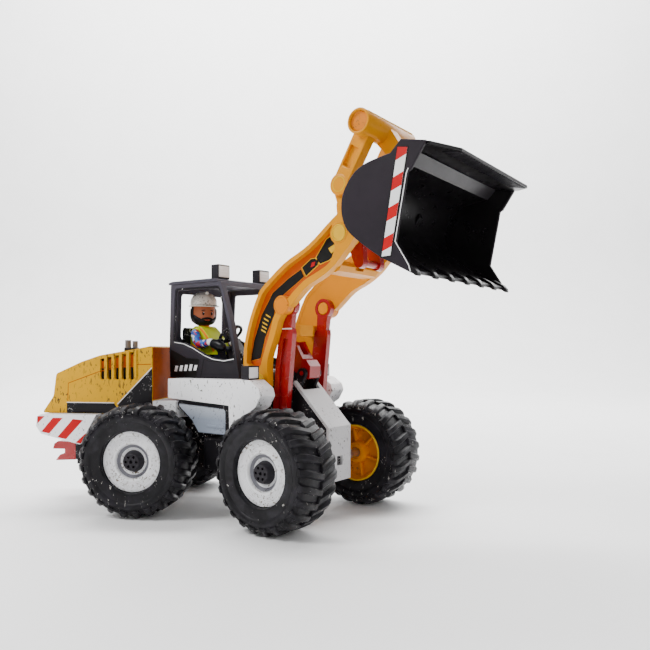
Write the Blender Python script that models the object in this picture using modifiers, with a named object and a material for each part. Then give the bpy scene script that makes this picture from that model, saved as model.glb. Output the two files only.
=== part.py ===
"""Toy front loader: articulated chassis, four wheels, cab with a driver, lifting arms and tipping bucket.

Built with the machine steered 28 degrees and its bucket raised and half tipped. Lengths below are in
millimetres and become metres through MM. Two unit frames share the ground plane: the front unit has its
origin under the front axle with +X forwards, and the rear unit has its origin under the steering pivot.
"""

import math

import bmesh
import bpy
from mathutils import Vector

MM = 0.001
GAP = 0.3

# Whole object
FRONT_AXLE_AT = (62.15, 22.37)
STEER_ANGLE = math.radians(28.2)

# Running gear
WHEEL_RADIUS = 48.0
TRACK = 131.2
TYRE_WIDTH = 44.8
RIM_RADIUS = 25.7
DISC_FACE = 15.7
HUB_FACE = 17.4
AXLE_RADIUS = 4.0
AXLE_HALF = 77.6
BORE = AXLE_RADIUS + GAP
PIVOT_X = -95.25
REAR_AXLE_X = -75.2

# Loader linkage, as (x, z) in the front unit
LIFT_PIVOT = (-44.0, 116.0)
STRUT_EYE = (-18.8, 179.6)
STRUT_FOOT = (-28.0, 85.0)
LEVER_PIVOT = (39.9, 233.8)
LEVER_TOP = (33.0, 274.8)
TUBE_AT = (58.5, 317.5)
BUCKET_PIVOT = (69.0, 252.8)
BUCKET_TOP_EYE = (88.0, 277.0)
CRANK_END = (45.5, 212.5)
LOCK_PIVOT = (-17.0, 122.0)
ARM_INNER = 28.0
ARM_OUTER = 36.0
BOSS_OUTER = 37.0
STUB = 4.5
LIFT_TRAVEL = math.radians(-80)
STRUT_RATIO = -0.113

# Cab and bodywork
CAB_HALF = 40.0
CAB_WALL = 2.5
CAB_FLOOR = 115.8
PANEL_INNER = 40.6
PANEL_OUTER = 59.0
NOSE_HALF = 16.0
HOOD_HALF = 40.0
BUCKET_HALF = 80.0
BUCKET_WALL = 2.5


for old in list(bpy.data.objects):
    bpy.data.objects.remove(old, do_unlink=True)


def collection(name):
    made = bpy.data.collections.new(name)
    bpy.context.scene.collection.children.link(made)
    return made


PARTS = collection("toy_front_loader")
CUTTERS = collection("cutters")
CUTTERS.hide_render = True


# Materials


def material(name, colour, roughness, metallic=0.0):
    made = bpy.data.materials.new(name)
    made.use_nodes = True
    shader = made.node_tree.nodes["Principled BSDF"]
    shader.inputs["Base Color"].default_value = (*colour, 1.0)
    shader.inputs["Roughness"].default_value = roughness
    shader.inputs["Metallic"].default_value = metallic
    made.diffuse_color = (*colour, 1.0)
    return made


YELLOW = material("yellow_plastic", (0.90, 0.42, 0.02), 0.32)
RED = material("red_plastic", (0.62, 0.02, 0.02), 0.28)
BLACK = material("black_plastic", (0.02, 0.02, 0.022), 0.45)
BUCKET_BLACK = material("bucket_black", (0.025, 0.025, 0.03), 0.35)
CAB_GREY = material("cab_grey", (0.11, 0.10, 0.12), 0.7)
WHITE = material("white_plastic", (0.80, 0.80, 0.82), 0.4)
TANK_GREY = material("tank_grey", (0.30, 0.34, 0.38), 0.45)
RUBBER = material("tyre_rubber", (0.025, 0.025, 0.03), 0.6)
DISC_WHITE = material("disc_white", (0.72, 0.74, 0.76), 0.35)
STEEL = material("axle_steel", (0.55, 0.56, 0.58), 0.3, 1.0)
LENS = material("lamp_lens", (0.85, 0.85, 0.84), 0.15)
LAMP_BLACK = material("lamp_black", (0.05, 0.05, 0.055), 0.5)
VEST = material("driver_vest", (0.60, 0.75, 0.05), 0.5)
SLEEVE = material("driver_sleeve", (0.04, 0.20, 0.55), 0.5)
SKIN = material("driver_skin", (0.42, 0.17, 0.09), 0.45)
HELMET = material("helmet_white", (0.82, 0.81, 0.78), 0.3)


# Building tools


def empty(name, parent, at, turn=0.0):
    """An empty at a point of its parent, turned about Z."""
    made = bpy.data.objects.new(name, None)
    made.empty_display_size = 0.01
    made.parent = parent
    made.location = Vector(at) * MM
    made.rotation_euler = (0, 0, turn)
    PARTS.objects.link(made)
    return made


def add_object(name, mesh, parent, at, look, rotation=(0, 0, 0)):
    """A part when look is a material, or a hidden cutter when look is None."""
    made = bpy.data.objects.new(name, mesh)
    made.parent = parent
    made.location = Vector(at) * MM
    made.rotation_euler = rotation
    if look is None:
        CUTTERS.objects.link(made)
        made.hide_render = True
        made.display_type = "WIRE"
    else:
        PARTS.objects.link(made)
        made.data.materials.append(look)
        made.data.shade_smooth()
        made.data.set_sharp_from_angle(angle=math.radians(35))
    return made


def mesh_of(name, bm):
    mesh = bpy.data.meshes.new(name)
    bmesh.ops.recalc_face_normals(bm, faces=bm.faces)
    bm.to_mesh(mesh)
    bm.free()
    return mesh


def box(name, low, high, parent, look=None, round_by=0.0):
    """A box between two corners in the parent's frame, with its edges rounded by round_by."""
    low, high = Vector(low), Vector(high)
    bm = bmesh.new()
    bmesh.ops.create_cube(bm, size=1.0)
    bmesh.ops.scale(bm, vec=(high - low) * MM, verts=bm.verts)
    if round_by:
        bmesh.ops.bevel(bm, geom=bm.edges[:], offset=round_by * MM, segments=2, profile=0.6,
                        affect="EDGES")
    return add_object(name, mesh_of(name, bm), parent, (low + high) / 2, look)


AXIS_TURN = {"X": (0, math.pi / 2, 0), "Y": (math.pi / 2, 0, 0), "Z": (0, 0, 0)}


def cylinder(name, at, radius, low, high, parent, look=None, axis="Y", sides=32, end_radius=None):
    """A cylinder or cone along an axis from low to high; at gives its other two coordinates."""
    bm = bmesh.new()
    bmesh.ops.create_cone(bm, cap_ends=True, segments=sides, radius1=radius * MM,
                          radius2=(radius if end_radius is None else end_radius) * MM,
                          depth=abs(high - low) * MM)
    middle = (low + high) / 2
    spot = {"X": (middle, *at), "Y": (at[0], middle, at[1]), "Z": (*at, middle)}[axis]
    return add_object(name, mesh_of(name, bm), parent, spot, look, AXIS_TURN[axis])


def flat_mesh(name, outline, thickness, holes=()):
    """The mesh of a flat outline in local XY with its holes, extruded to a thickness along Z."""
    curve = bpy.data.curves.new(name, "CURVE")
    curve.dimensions = "2D"
    curve.fill_mode = "BOTH"
    curve.extrude = thickness * MM / 2
    for points in (outline, *holes):
        spline = curve.splines.new("POLY")
        spline.points.add(len(points) - 1)
        for point, (x, z) in zip(spline.points, points):
            point.co = (x * MM, z * MM, 0, 1)
        spline.use_cyclic_u = True
    guide = bpy.data.objects.new(name, curve)
    bpy.context.scene.collection.objects.link(guide)
    mesh = bpy.data.meshes.new_from_object(guide.evaluated_get(bpy.context.evaluated_depsgraph_get()))
    bpy.data.objects.remove(guide)
    bm = bmesh.new()
    bm.from_mesh(mesh)
    bmesh.ops.remove_doubles(bm, verts=bm.verts, dist=1e-6)
    bmesh.ops.recalc_face_normals(bm, faces=bm.faces)
    bm.to_mesh(mesh)
    bm.free()
    return mesh


def plate(name, outline, low, high, parent, look=None, holes=(), origin=(0, 0)):
    """An outline of (x, z) points, extruded along Y from low to high, about an origin at (x, z)."""
    def shift(points):
        return [(x - origin[0], z - origin[1]) for x, z in points]

    low, high = min(low, high), max(low, high)
    mesh = flat_mesh(name, shift(outline), high - low, [shift(hole) for hole in holes])
    return add_object(name, mesh, parent, (0, (low + high) / 2, 0), look, (math.pi / 2, 0, 0))


def slab(name, outline, low, high, parent, look=None, holes=()):
    """An outline of (x, y) points, extruded along Z from low to high."""
    mesh = flat_mesh(name, outline, high - low, holes)
    return add_object(name, mesh, parent, (0, 0, (low + high) / 2), look)


def turned(name, profile, parent, at, look, axis="Y", side=1, steps=36):
    """A closed (radius, along) profile turned about an axis; side -1 faces it the other way."""
    bm = bmesh.new()
    points = [bm.verts.new((radius * MM, 0, along * MM)) for radius, along in profile]
    for first, second in zip(points, points[1:] + points[:1]):
        bm.edges.new((first, second))
    bmesh.ops.spin(bm, geom=bm.verts[:] + bm.edges[:], cent=(0, 0, 0), axis=(0, 0, 1),
                   angle=2 * math.pi, steps=steps, use_merge=True)
    bmesh.ops.remove_doubles(bm, verts=bm.verts, dist=1e-6)
    turn = AXIS_TURN[axis]
    if axis == "Y":
        turn = (-math.pi / 2 * side, 0, 0)
    return add_object(name, mesh_of(name, bm), parent, at, look, turn)


def circle(centre, radius, count=24, start=0.0, sweep=360.0):
    """Points of a circle, or of an arc of it when sweep is under 360 degrees."""
    last = count if sweep >= 360 else count - 1
    angles = [math.radians(start + sweep * i / last) for i in range(count)]
    return [(centre[0] + radius * math.cos(a), centre[1] + radius * math.sin(a)) for a in angles]


def smooth(points, pieces=4):
    """A Catmull-Rom curve through open points, with a number of pieces for each span."""
    ends = [tuple(2 * a - b for a, b in zip(points[0], points[1]))]
    tail = [tuple(2 * a - b for a, b in zip(points[-1], points[-2]))]
    full = ends + list(points) + tail
    result = []
    for a, b, c, d in zip(full, full[1:], full[2:], full[3:]):
        for i in range(pieces):
            t = i / pieces
            result.append(tuple(
                0.5 * (2 * q + (r - p) * t + (2 * p - 5 * q + 4 * r - s) * t * t
                       + (3 * q - p - 3 * r + s) * t ** 3)
                for p, q, r, s in zip(a, b, c, d)))
    return result + [points[-1]]


def hull(*groups):
    """The convex outline round all the points given."""
    points = sorted(set(point for group in groups for point in group))

    def half(order):
        line = []
        for p in order:
            while len(line) > 1 and (
                    (line[-1][0] - line[-2][0]) * (p[1] - line[-2][1])
                    - (line[-1][1] - line[-2][1]) * (p[0] - line[-2][0])) <= 0:
                line.pop()
            line.append(p)
        return line[:-1]

    return half(points) + half(points[::-1])


def boolean(target, other, operation):
    modifier = target.modifiers.new(other.name, "BOOLEAN")
    modifier.operation = operation
    modifier.object = other
    modifier.solver = "EXACT"


def cut(target, *cutters):
    for cutter in cutters:
        boolean(target, cutter, "DIFFERENCE")
    return target


def join(target, *others):
    for other in others:
        boolean(target, other, "UNION")
    return target


SIDES = {"left": 1, "right": -1}

# The two units

front = empty("front_unit", None, (*FRONT_AXLE_AT, 0))
rear = empty("rear_unit", front, (PIVOT_X, 0, 0), STEER_ANGLE)


# Wheels and axles


def wheel(prefix, unit, axle_x, side):
    """A tyre on two rim halves, with a black hub cap, about an empty at the wheel's centre."""
    centre = empty(prefix + "_wheel_centre", unit, (axle_x, side * TRACK / 2, WHEEL_RADIUS))
    half = TYRE_WIDTH / 2
    tyre = [(RIM_RADIUS + GAP, -half + 3.4), (RIM_RADIUS + GAP, half - 3.4), (29, half - 0.6),
            (35, half), (41.6, half), (45.6, half - 2.2), (WHEEL_RADIUS, half - 6.4),
            (WHEEL_RADIUS, -half + 6.4), (45.6, -half + 2.2), (41.6, -half), (35, -half),
            (29, -half + 0.6)]
    inner = [(BORE, -1), (RIM_RADIUS, -1), (RIM_RADIUS, -18.5), (23.5, -18.5), (20.5, -11), (10.5, -11),
             (8.5, -19), (BORE, -19)]
    outer = [(BORE, -1 + GAP), (RIM_RADIUS, -1 + GAP), (RIM_RADIUS, DISC_FACE), (14.8, DISC_FACE),
             (14.4, DISC_FACE - 1.3), (9.8, DISC_FACE - 6), (BORE, DISC_FACE - 6)]
    hub = [(BORE, DISC_FACE - 5.7), (9.4, DISC_FACE - 5.7), (7.4, HUB_FACE - 0.6), (6.8, HUB_FACE),
           (0.001, HUB_FACE), (0.001, 12.6), (BORE, 12.6)]
    turned(prefix + "_tyre", tyre, centre, (0, 0, 0), RUBBER, side=side)
    turned(prefix + "_inner_rim", inner, centre, (0, 0, 0), YELLOW, side=side, steps=24)
    turned(prefix + "_wheel_disc", outer, centre, (0, 0, 0), DISC_WHITE, side=side)
    turned(prefix + "_hub_cap", hub, centre, (0, 0, 0), BLACK, side=side, steps=24)


for end, unit, axle_x in (("front", front, 0.0), ("rear", rear, REAR_AXLE_X)):
    for name, side in SIDES.items():
        wheel(f"{end}_{name}", unit, axle_x, side)
    cylinder(end + "_axle", (axle_x, WHEEL_RADIUS), AXLE_RADIUS, -AXLE_HALF, AXLE_HALF, unit, STEEL,
             sides=20)


# Front chassis


def foot_path(lift):
    """Where the strut's foot is, and the way it moves, when the arms have turned by lift."""
    def turn(vector, angle):
        c, s = math.cos(angle), math.sin(angle)
        return (c * vector[0] - s * vector[1], s * vector[0] + c * vector[1])

    eye = turn((STRUT_EYE[0] - LIFT_PIVOT[0], STRUT_EYE[1] - LIFT_PIVOT[1]), lift)
    leg = turn((STRUT_FOOT[0] - STRUT_EYE[0], STRUT_FOOT[1] - STRUT_EYE[1]), lift * (1 + STRUT_RATIO))
    return (LIFT_PIVOT[0] + eye[0] + leg[0], LIFT_PIVOT[1] + eye[1] + leg[1])


KEEL_HALF = 21.6
NOSE_OUTLINE = [(13.0, 34), (13.0, 75.8), (-22.2, 112.2), (-24.0, 112.2), (-24.0, 34)]
KEEL_OUTLINE = [(-23.0, 34), (-23.0, 98), (-30, 102), (-80, 102), (-80, 34)]
TOWER_OUTLINE = hull(circle(LIFT_PIVOT, 9.5, 16), [(-60, 99), (-46, 99)])
LUG_RADIUS = 12.0
LUGS = ((36, 42), (84, 90))

chassis = plate("front_chassis", NOSE_OUTLINE, -NOSE_HALF + 0.6, NOSE_HALF - 0.6, front, BLACK)
keel = plate("keel_block", KEEL_OUTLINE, -KEEL_HALF, KEEL_HALF, front)
tower = plate("pivot_tower", TOWER_OUTLINE, -ARM_INNER + GAP, ARM_INNER - GAP, front)
deck = box("cab_deck", (-150, -PANEL_INNER + GAP, 98.3), (-61, PANEL_INNER - GAP, CAB_FLOOR - GAP), front)
steps = [box("step_block", (-90, side * 37.5 - 19.5, 38), (-62, side * 37.5 + 19.5, 66), front,
             round_by=1.5)
         for side in SIDES.values()]
cheeks = [plate("lock_cheek", hull(circle(LOCK_PIVOT, 4.5, 16), [(-31, 99), (-24.5, 99)]), low, high, front)
          for low, high in ((-11.5, -8), (8, 11.5))]
join(chassis, keel, tower, deck, *steps, *cheeks)
for low, high in LUGS:
    lug = hull(circle((PIVOT_X, 0), LUG_RADIUS, 20), [(-79, -16), (-79, 16)])
    join(chassis, slab("hitch_lug", lug, low, high, front))
TRACK_STEPS = 14
track = [foot_path(LIFT_TRAVEL * i / TRACK_STEPS) for i in range(-1, TRACK_STEPS + 1)]
for name, side in SIDES.items():
    low, high = side * 18.4, side * (KEEL_HALF + 1)
    for number, (first, second) in enumerate(zip(track, track[1:])):
        groove = hull(circle(first, 3.4, 12), circle(second, 3.4, 12))
        if number == 0:
            groove_all = plate("foot_groove_" + name, groove, low, high, front)
        else:
            join(groove_all, plate("groove_step", groove, low, high, front))
    cut(chassis, groove_all)
cut(chassis,
    cylinder("front_axle_bore", (0, WHEEL_RADIUS), BORE, -60, 60, front, sides=20),
    cylinder("pivot_bore", (PIVOT_X, 0), BORE, 30, 95, front, axis="Z", sides=20),
    cylinder("lift_bore", LIFT_PIVOT, STUB + GAP, -30, 30, front, sides=20),
    box("keel_hollow", (-72, -14, 30), (-30, 14, 90), front),
    box("lock_slot", (-38, -7.9, 107), (-10, 7.9, 135), front),
    cylinder("lock_bore", LOCK_PIVOT, 2.3, -12, 12, front, sides=16))
cylinder("steering_pin", (PIVOT_X, 0), AXLE_RADIUS, 34, 93, front, STEEL, axis="Z", sides=20)

# Nose cover: a folded strip over the slope and down the front
cover = plate("nose_cover",
              [(-21.2, 115.6), (15.6, 77.5), (15.6, 31.5), (13.3, 31.5), (13.3, 76.5), (-22.7, 113.4)],
              -NOSE_HALF, NOSE_HALF, front, WHITE)
cut(cover, box("nose_socket", (10, -4, 44.5), (20, 4, 52.5), front),
    box("nose_notch", (-28, -11.8, 104), (-14, 11.8, 125), front))

# Side panels, tank covers and lower lamps

PANEL_OUTLINE = [(-134.3, 116.1), (-33.8, 117.2), (-23.5, 110.5), (-21.6, 104.2), (-26.9, 95.3),
                 (-44.9, 84.0),
                 (-56.5, 73), (-57.3, 95.2), (-134.3, 98.6)]
TANK_OUTLINE = [(-120.5, 97.2), (-58.2, 94.6), (-58.2, 69.7), (-95, 69.7), (-103.5, 80), (-120.5, 92)]
for name, side in SIDES.items():
    panel = plate(name + "_side_panel", PANEL_OUTLINE, side * PANEL_INNER, side * PANEL_OUTER, front, WHITE)
    panel_edge = panel.modifiers.new("edge", "BEVEL")
    panel_edge.width = 1.2 * MM
    panel_edge.segments = 2
    panel_edge.angle_limit = math.radians(40)
    plate(name + "_tank_cover", TANK_OUTLINE, side * PANEL_INNER, side * PANEL_OUTER, front, TANK_GREY)
    middle = side * 50.2
    housing = box(name + "_lower_lamp", (-45, middle - 6.8, 117.4), (-36.6, middle + 6.8, 128.9), front,
                  LAMP_BLACK, round_by=0.8)
    cut(housing, box("lamp_recess", (-37.6, middle - 5.9, 118.3), (-35, middle + 5.9, 128), front))


# Cab: one shell with open windows, and a roof that carries two lamps
CAB_OUTLINE = [(-153.5, CAB_FLOOR), (-154.7, 146.6), (-152.8, 203.4), (-85.9, 203.4), (-72.6, 164.3),
               (-62.9, CAB_FLOOR)]
CAB_INSIDE = [(-150.9, CAB_FLOOR + CAB_WALL), (-152.1, 146.6), (-150.3, 210), (-90.6, 210), (-75.3, 164),
              (-66, CAB_FLOOR + CAB_WALL)]
SIDE_WINDOW = [(-147.1, 150.4), (-144.5, 197.9), (-89.3, 197.4), (-79.2, 164.5), (-70.5, 135.3),
               (-82, 133.6),
               (-95, 134.8), (-106.4, 138.3), (-122, 145), (-134, 149)]
cab = plate("cab_frame", CAB_OUTLINE, -CAB_HALF, CAB_HALF, front, CAB_GREY)
cut(cab,
    plate("cab_hollow", CAB_INSIDE, -CAB_HALF + CAB_WALL, CAB_HALF - CAB_WALL, front),
    plate("side_window", SIDE_WINDOW, -CAB_HALF - 5, CAB_HALF + 5, front),
    plate("windscreen", [(-100, 200), (-83, 200), (-55, 128), (-75, 128)], -34.5, 34.5, front),
    box("rear_window", (-160, -28, 152), (-146, 28, 196), front, round_by=2))
roof = plate("cab_roof", [(-155.2, 203.7), (-154.9, 205.6), (-150, 206.6), (-94, 206.6), (-90, 205.2),
                          (-89.5, 203.7)],
             -CAB_HALF - 0.6, CAB_HALF + 0.6, front, CAB_GREY)
for name, side in SIDES.items():
    middle = side * 27.5
    housing = box(name + "_roof_lamp", (-103.5, middle - 7.5, 206.9), (-94.4, middle + 7.5, 220), front,
                  LAMP_BLACK, round_by=0.8)
    cut(housing, box("lamp_recess", (-96.6, middle - 6.6, 208.2), (-90, middle + 6.6, 219), front))
    box(name + "_roof_lamp_lens", (-96.3, middle - 6.3, 208.5), (-94, middle + 6.3, 218.7), front, LENS,
        round_by=0.5)

# Seat, steering wheel and driver
SEAT_LINE = -13.0
CAB_TOP = CAB_FLOOR + CAB_WALL + GAP
SEAT_OUTLINE = [(-149.8, CAB_TOP), (-149.8, 160.5), (-148.4, 163.4), (-145.9, 163.4), (-144.2, 140),
                (-143, 137.3),
                (-120, 137.3), (-117.5, 134.5), (-119, CAB_TOP)]
seat = plate("seat", SEAT_OUTLINE, SEAT_LINE - 15, SEAT_LINE + 15, front, BLACK)
WHEEL_AT = (-100.0, 157.0)
WHEEL_LEAN = math.radians(-40)
plate("steering_column",
      [(-86, CAB_TOP), (-78.5, CAB_TOP), (-80.5, 136.8), (-97, 156.5), (-100, 153.9),
       (-84.5, 134.2)],
      SEAT_LINE - 4, SEAT_LINE + 4, front, BLACK)
wheel_centre = empty("steering_wheel_centre", front, (WHEEL_AT[0], SEAT_LINE, WHEEL_AT[1]))
wheel_centre.rotation_euler = (0, WHEEL_LEAN, 0)
steering = turned("steering_wheel",
                  [(9.4 + 1.5 * x, 1.5 * z) for x, z in circle((1, 0), 1, 10)], wheel_centre, (0, 0, 0),
                  BLACK,
                  axis="Z", steps=28)
spokes = [box("spoke", (-10.6, -1.3, -1), (10.6, 1.3, 0.8), wheel_centre),
          cylinder("wheel_hub", (0, 0), 3.0, -1.9, 1.4, wheel_centre, axis="Z", sides=16)]
join(steering, *spokes)

HIP_Z = 137.6
HEAD_X = -136.5
torso_outline = [(-143.2, HIP_Z), (-142.6, 150), (-143, 160), (-139.5, 164.6), (-130.5, 164.6), (-127, 159),
                 (-126, 150), (-124.5, 147), (-110, 146.8), (-105.8, 143), (-102.5, 124), (-96.5, 123),
                 (-96, CAB_TOP),
                 (-112.4, CAB_TOP), (-112.8, HIP_Z)]
body = plate("driver_body", torso_outline, SEAT_LINE - 10, SEAT_LINE + 10, front, VEST)
cut(body, box("between_legs", (-116, SEAT_LINE - 1.1, 100), (-90, SEAT_LINE + 1.1, 160), front))
body_edge = body.modifiers.new("edge", "BEVEL")
body_edge.width = 1.3 * MM
body_edge.segments = 2
body_edge.angle_limit = math.radians(40)
head_at = empty("driver_neck", front, (HEAD_X, SEAT_LINE, 164.9))
head_profile = [(0.001, 0), (5.5, 0), (7, 0.8), (10.2, 4), (11.4, 8.5), (11.6, 14), (11, 19.4),
                (0.001, 19.4)]
turned("driver_head", head_profile, head_at, (0, 0, 0), SKIN, axis="Z", steps=28)
helmet_profile = [(0.001, 19.8), (12.2, 19.8), (14.6, 19.9), (14.8, 20.8), (13.7, 21.6), (12.9, 26),
                  (10.4, 30),
                  (6, 32.2), (0.001, 32.8)]
turned("driver_helmet", helmet_profile, head_at, (0, 0, 0), HELMET, axis="Z", steps=28)
SHOULDER = (-134.5, 158.0)
for name, side in SIDES.items():
    low, high = SEAT_LINE + side * 10.3, SEAT_LINE + side * 16.6
    arm = plate(f"driver_{name}_arm",
                hull(circle(SHOULDER, 4.8, 16), circle((-128, 146.5), 3.8, 12)), low, high, front, SLEEVE)
    forearm = plate("forearm", hull(circle((-128, 146.5), 3.8, 12), circle((-114, 153.4), 3.2, 12)),
                    low, high,
                    front)
    hand = plate("hand", circle((-111.6, 154.6), 3.9, 14), low, high, front)
    join(arm, forearm, hand)

# Loader arms and the beams between them
ARM_REAR = [(-62.3, 129.3), (-60.8, 148.1), (-54.4, 169.6), (-46.2, 187.2), (-39.6, 196.1), (-16.6, 213.7),
            (4.5, 224.2), (16.6, 232.1), (26.6, 240.1), (35.8, 247), (44, 252.6), (54, 257), (63, 258.2)]
ARM_FRONT = [(71.5, 247.6), (62, 238), (51.1, 224.7), (44.9, 218.2), (35.6, 208.8), (22.8, 200.5),
             (7.9, 193.5),
             (-6.6, 181.2), (-20.6, 169.5), (-25, 158), (-28.7, 148.4), (-34.2, 134.4), (-34.6, 122)]
POCKET_REAR = [(-58.2, 131), (-57, 148), (-50.8, 168.2), (-43, 185), (-37, 193.2), (-15, 210), (6, 220.8),
               (18.4, 229), (28.2, 236.6), (33, 241)]
POCKET_FRONT = [(36, 222.5), (31, 211.6), (20, 205.2), (4.6, 198.2), (-10.6, 186), (-26, 172), (-30.6, 160),
                (-34.2, 150), (-40, 135.4), (-43, 128), (-52, 127)]
foot_arc = circle(LIFT_PIVOT, 10.5, 9, start=-25, sweep=-140)
tip_arc = circle(BUCKET_PIVOT, 5.5, 8, start=75, sweep=-160)
arm_outline = smooth(ARM_REAR, 2) + tip_arc + smooth(ARM_FRONT, 2) + foot_arc
pocket_outline = smooth(POCKET_REAR, 2) + smooth(POCKET_FRONT, 2)
for name, side in SIDES.items():
    arm = plate(name + "_loader_arm", arm_outline, side * ARM_INNER, side * ARM_OUTER, front, YELLOW)
    pocket = plate("arm_pocket_" + name, pocket_outline, side * (ARM_INNER + 2.2), side * 45, front)
    cut(arm, pocket)
    outer = side * BOSS_OUTER
    join(arm,
         cylinder("foot_stub", LIFT_PIVOT, STUB, side * 22.5, side * 30, front, sides=20),
         cylinder("elbow_boss", STRUT_EYE, 8.0, side * 29, outer, front),
         cylinder("elbow_stub", STRUT_EYE, 5.5, side * 21.6, side * 29.5, front, sides=24),
         cylinder("lever_boss", LEVER_PIVOT, 8.2, side * 29, outer, front))
    cut(arm,
        cylinder("lever_shaft_bore", LEVER_PIVOT, AXLE_RADIUS + GAP, side * 20, side * 35.6, front,
                 sides=20),
        cylinder("bucket_bore", BUCKET_PIVOT, 2.3, side * 20, side * 33.6, front, sides=16))

slab("lower_cross_beam",
     [(-20, -9), (-20, 9), (-28.8, 20.6), (-28.8, 27.7), (-37.2, 27.7), (-37.2, 20), (-28, 9),
      (-28, -9), (-37.2, -20), (-37.2, -27.7), (-28.8, -27.7), (-28.8, -20.6)], 154.3, 163.8,
      front, YELLOW)
UPPER_BEAM = [(24, 203.3), (34, 205.2), (36.3, 209.6), (34.2, 213.6), (26, 212.4)]
upper = plate("upper_cross_beam", UPPER_BEAM, -ARM_INNER + GAP, ARM_INNER - GAP, front, YELLOW)
cut(upper, box("beam_slot", (31.5, -6, 207.6), (40, 6, 211), front))

# Lift struts: an eye on the arm's stub, a stiff bar, and a foot pin in the curved groove
STRUT_BAR = [(-32.4, 128), (-35.6, 86), (-34.4, 79.6), (-28, 76.8), (-21.8, 80), (-20.6, 86), (-16.6, 128),
             (-13.6, 156), (-14.2, 160), (-26.6, 160), (-28.4, 156)]
for name, side in SIDES.items():
    inner, outer = side * 21.9, side * 27.6
    strut = plate(name + "_lift_strut", STRUT_BAR, inner, outer, front, RED, origin=STRUT_EYE)
    strut.location = (STRUT_EYE[0] * MM, strut.location.y, STRUT_EYE[1] * MM)
    neck = plate("strut_neck", [(-25.6, 158), (-15.6, 158), (-12.6, 179.6), (-25, 179.6)], inner, outer,
                 front)
    eye = plate("strut_eye", circle(STRUT_EYE, 8.8, 28), inner, outer, front)
    pin = cylinder("foot_pin", STRUT_FOOT, 3.0, side * 18.7, side * 23, front, sides=16)
    groove = plate("strut_groove", [(-27.6, 126), (-30, 90), (-26.4, 90), (-22, 126), (-18.6, 152),
                                    (-23.6, 152)],
                   side * 25.6, side * 30, front)
    join(strut, neck, eye, pin)
    cut(strut, groove, cylinder("eye_bore", STRUT_EYE, 5.8, side * 20, side * 30, front, sides=24))

LOCK_OUTLINE = [(-11.2, 118), (-10.5, 128), (-14.6, 133.4), (-18.5, 134.5), (-22.6, 141),
                (-27.4, 149.6), (-31, 149),
                (-33, 138), (-33, 125.5), (-27, 123), (-21, 118)]
lock = plate("lift_lock_lever", LOCK_OUTLINE, -7.5, 7.5, front, RED, origin=LOCK_PIVOT)
lock.location = (LOCK_PIVOT[0] * MM, 0, LOCK_PIVOT[1] * MM)
join(lock, plate("lock_knuckle", circle(LOCK_PIVOT, 5.6, 20), -7.5, 7.5, front),
     cylinder("lock_stub", LOCK_PIVOT, 2.0, -11.4, 11.4, front, sides=16))
cut(lock, box("lock_pocket", (-30.5, -3.6, 138), (-20, 3.6, 155), front))

# Tilt chain: crank shaft, levers, and the link frame with its cross tube
crank = cylinder("tilt_crank_shaft", LEVER_PIVOT, AXLE_RADIUS, -35.2, 35.2, front, RED, sides=20)
for side in SIDES.values():
    join(crank, plate("crank_cheek", hull(circle(LEVER_PIVOT, 7.4, 20), circle(CRANK_END, 4.6, 16)),
                      side * 9.4, side * 15.9, front))
join(crank, cylinder("crank_bar", CRANK_END, 3.0, -12, 12, front, sides=16))
LEVER_LOW, LEVER_HIGH = 16.3, 26.3
FORK_LOW, FORK_HIGH = 19.4, 23.2
for name, side in SIDES.items():
    lever = plate(name + "_tilt_lever",
                  hull(circle((38.0, 245.3), 6.2, 16), circle((35.8, 258.0), 5.2, 16)),
                  side * LEVER_LOW, side * LEVER_HIGH, front, YELLOW, origin=LEVER_PIVOT)
    lever.location = (LEVER_PIVOT[0] * MM, lever.location.y, LEVER_PIVOT[1] * MM)
    join(lever,
         plate("lever_foot", hull(circle(LEVER_PIVOT, 8.0, 24), circle((38.4, 243), 6.2, 16)),
               side * LEVER_LOW, side * LEVER_HIGH, front),
         plate("lever_eye", hull(circle(LEVER_TOP, 8.4, 24), circle((35.9, 256), 5.0, 16)),
               side * (FORK_LOW + GAP), side * (FORK_HIGH - GAP), front),
         cylinder("lever_stub", LEVER_TOP, 5.4, side * 16.3, side * 26.6, front, sides=24))
    cut(lever, cylinder("lever_bore", LEVER_PIVOT, AXLE_RADIUS + GAP, side * 10, side * 30, front,
                        sides=20))

link = cylinder("tilt_link_frame", TUBE_AT, 10.0, -37, 37, front, YELLOW)
link_pieces = []
for side in SIDES.values():
    bar = plate("link_bar", hull(circle(LEVER_TOP, 9.0, 28), circle(TUBE_AT, 6.5, 20)),
                side * LEVER_LOW, side * LEVER_HIGH, front)
    link_pieces.append(bar)
link_pieces.append(plate("link_tab", hull(circle(TUBE_AT, 8.5, 20), circle(BUCKET_TOP_EYE, 5.2, 16)),
                         -6, 6, front))
link_pieces.append(cylinder("tab_pin", BUCKET_TOP_EYE, 2.0, -12.2, 12.2, front, sides=16))
join(link, *link_pieces)
cut(link, cylinder("tube_hollow", TUBE_AT, 8.0, -33, -60, front, sides=24),
    cylinder("tube_hollow_far", TUBE_AT, 8.0, 33, 60, front, sides=24))
for side in SIDES.values():
    cut(link,
        cylinder("fork_slot", LEVER_TOP, 12.8, side * FORK_LOW, side * FORK_HIGH, front),
        cylinder("fork_bore", LEVER_TOP, 5.7, side * 10, side * 30, front, sides=24),
        plate("bar_channel", [(36.5, 292), (44.5, 306), (54, 300.5), (45.6, 286.8)], side * 23.3,
              side * 30, front))

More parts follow.
